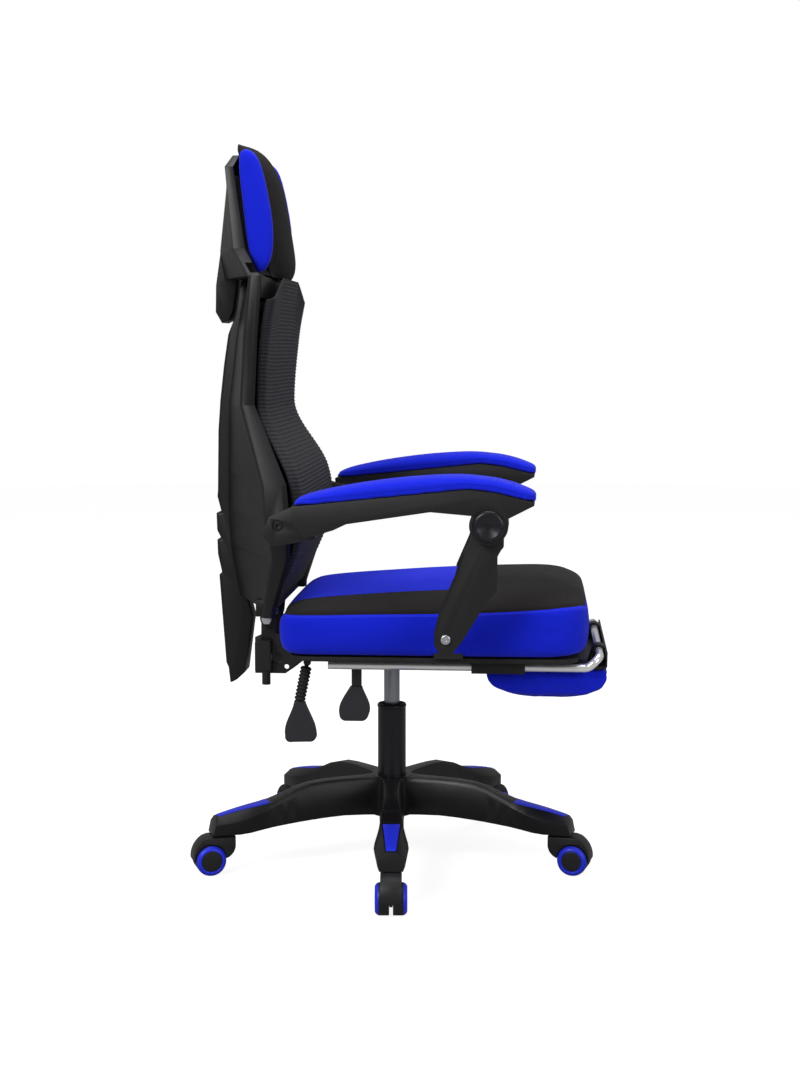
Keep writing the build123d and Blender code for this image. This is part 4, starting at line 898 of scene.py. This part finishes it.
def build_arm_pad(side):
    """Blue pad that sits on the arm's top, with a groove round its foot."""
    name = "right" if side < 0 else "left"
    low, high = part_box(f"arm_pad_{name}")
    middle, half = (low.x + high.x) / 2, (high.x - low.x) / 2 - 0.001
    rings = []
    front, rear = PAD_OVER[0][0] + 0.001, PAD_OVER[-1][0] - 0.001
    along = np.linspace(front + 0.009, rear - 0.009, 46)
    for y in np.concatenate([[front, front + 0.0035], along, [rear - 0.0035, rear]]):
        floor = float(interp(y, PAD_UNDER)) + 0.0008
        roof = max(float(smooth_interp(y, PAD_OVER)) - 0.0015, floor + 0.002)
        end = min(1.0, (y - front) / 0.022, (rear - y) / 0.03)
        reach = half * (1 - 0.42 * (1 - max(end, 0.0)) ** 2.2)
        ring = [(middle + side * reach * s, y, floor) for s in (1.0, 0.6, 0.2, -0.2, -0.6, -1.0)]
        for k in range(17):
            angle = math.pi * (k + 0.5) / 17
            lift = abs(math.sin(angle)) ** 0.62
            across = math.copysign(abs(math.cos(angle)) ** 0.72, math.cos(angle))
            ring.append((middle - side * reach * across, y, floor + 0.0015 + (roof - floor - 0.0015) * lift))
        rings.append(ring)
    if side < 0:
        rings = [ring[::-1] for ring in rings]
    pad = ring_solid(f"arm_cover_{name}", rings, blue_fabric)
    remesh(pad, 0.004, 5)
    points = get_points(pad.data)
    held = points[:, 2] < interp(points[:, 1], PAD_UNDER) + 0.004
    inflate(pad, 2.5, 0.0035, np.nonzero(held)[0])
    subdivide(pad)
    points = get_points(pad.data)
    base = interp(points[:, 1], PAD_UNDER)
    points[:, 2] = np.maximum(points[:, 2], base + 0.0004)
    set_points(pad.data, points)
    press_groove(pad, np.abs(points[:, 2] - base - 0.0075), 0.0009, 0.0018)
    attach(pad, f"arm_{name}")
    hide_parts(f"arm_pad_{name}")


build_arm_pad(-1)
build_arm_pad(1)

# ---------------------------------------------------------------- floor, light and camera
FLOOR_RADIUS = 9.0
FLOOR_GLOW = 0.87
WORLD_LIGHT = 0.32
floor_shader = Shader("studio_floor", 0.9, specular=0.0)
floor_shader.colour(floor_shader.mix(floor_shader.noise(2.0), (0.34, 0.34, 0.34), (0.36, 0.36, 0.36)))
seen = floor_shader.tree.nodes.new("ShaderNodeLightPath").outputs["Is Camera Ray"]
floor_shader.surface.inputs["Emission Color"].default_value = (1.0, 1.0, 1.0, 1.0)
floor_shader.tree.links.new(
    floor_shader.math("MULTIPLY", seen, FLOOR_GLOW), floor_shader.surface.inputs["Emission Strength"]
)
turns = [2 * math.pi * k / 96 for k in range(96)]
rim = [(FLOOR_RADIUS * math.cos(turn), FLOOR_RADIUS * math.sin(turn), 0) for turn in turns]
floor = link_mesh("studio_floor", rim, [tuple(range(96))], floor_shader.material)

world = bpy.data.worlds.new("studio")
SCENE.world = world
world.use_nodes = True
tree = world.node_tree
background = tree.nodes["Background"]
background.inputs["Color"].default_value = (1.0, 1.0, 1.0, 1.0)
ray = tree.nodes.new("ShaderNodeLightPath")
level = tree.nodes.new("ShaderNodeMapRange")
level.inputs["To Min"].default_value = WORLD_LIGHT
level.inputs["To Max"].default_value = 1.0
tree.links.new(ray.outputs["Is Camera Ray"], level.inputs["Value"])
tree.links.new(level.outputs[0], background.inputs["Strength"])


def area_light(name, place, target, size, power):
    data = bpy.data.lights.new(name, "AREA")
    data.shape = "RECTANGLE"
    data.size, data.size_y = size
    data.energy = power
    lamp = bpy.data.objects.new(name, data)
    SCENE.collection.objects.link(lamp)
    lamp.location = place
    lamp.rotation_euler = (Vector(target) - Vector(place)).to_track_quat("-Z", "Y").to_euler()


area_light("key", (-2.6, 1.6, 2.4), (0, 0, 0.7), (1.2, 1.2), 70)
area_light("fill", (-2.2, -2.4, 1.6), (0, -0.1, 0.6), (1.6, 1.6), 30)
area_light("top", (0.2, -0.2, 3.2), (0, 0, 0), (2.4, 2.4), 60)

CAMERA_DISTANCE, CAMERA_HEIGHT, CAMERA_SHIFT = 3.1447, 0.9115, 0.0145
YAW, PITCH = 0.075, 0.1031
FOCAL, IMAGE_HEIGHT, SENSOR = 1785.4, 1066, 36.0
camera_data = bpy.data.cameras.new("camera")
camera_data.sensor_width = SENSOR
camera_data.lens = FOCAL * SENSOR / IMAGE_HEIGHT
camera_data.clip_end = 60
camera = bpy.data.objects.new("camera", camera_data)
SCENE.collection.objects.link(camera)
camera.location = (
    -CAMERA_DISTANCE * math.cos(YAW) + CAMERA_SHIFT * math.sin(YAW),
    -CAMERA_DISTANCE * math.sin(YAW) - CAMERA_SHIFT * math.cos(YAW),
    CAMERA_HEIGHT,
)
gaze = Vector((math.cos(YAW) * math.cos(PITCH), math.sin(YAW) * math.cos(PITCH), -math.sin(PITCH)))
camera.rotation_euler = gaze.to_track_quat("-Z", "Y").to_euler()
SCENE.camera = camera
SCENE.view_settings.view_transform = "Standard"

bpy.context.view_layer.update()
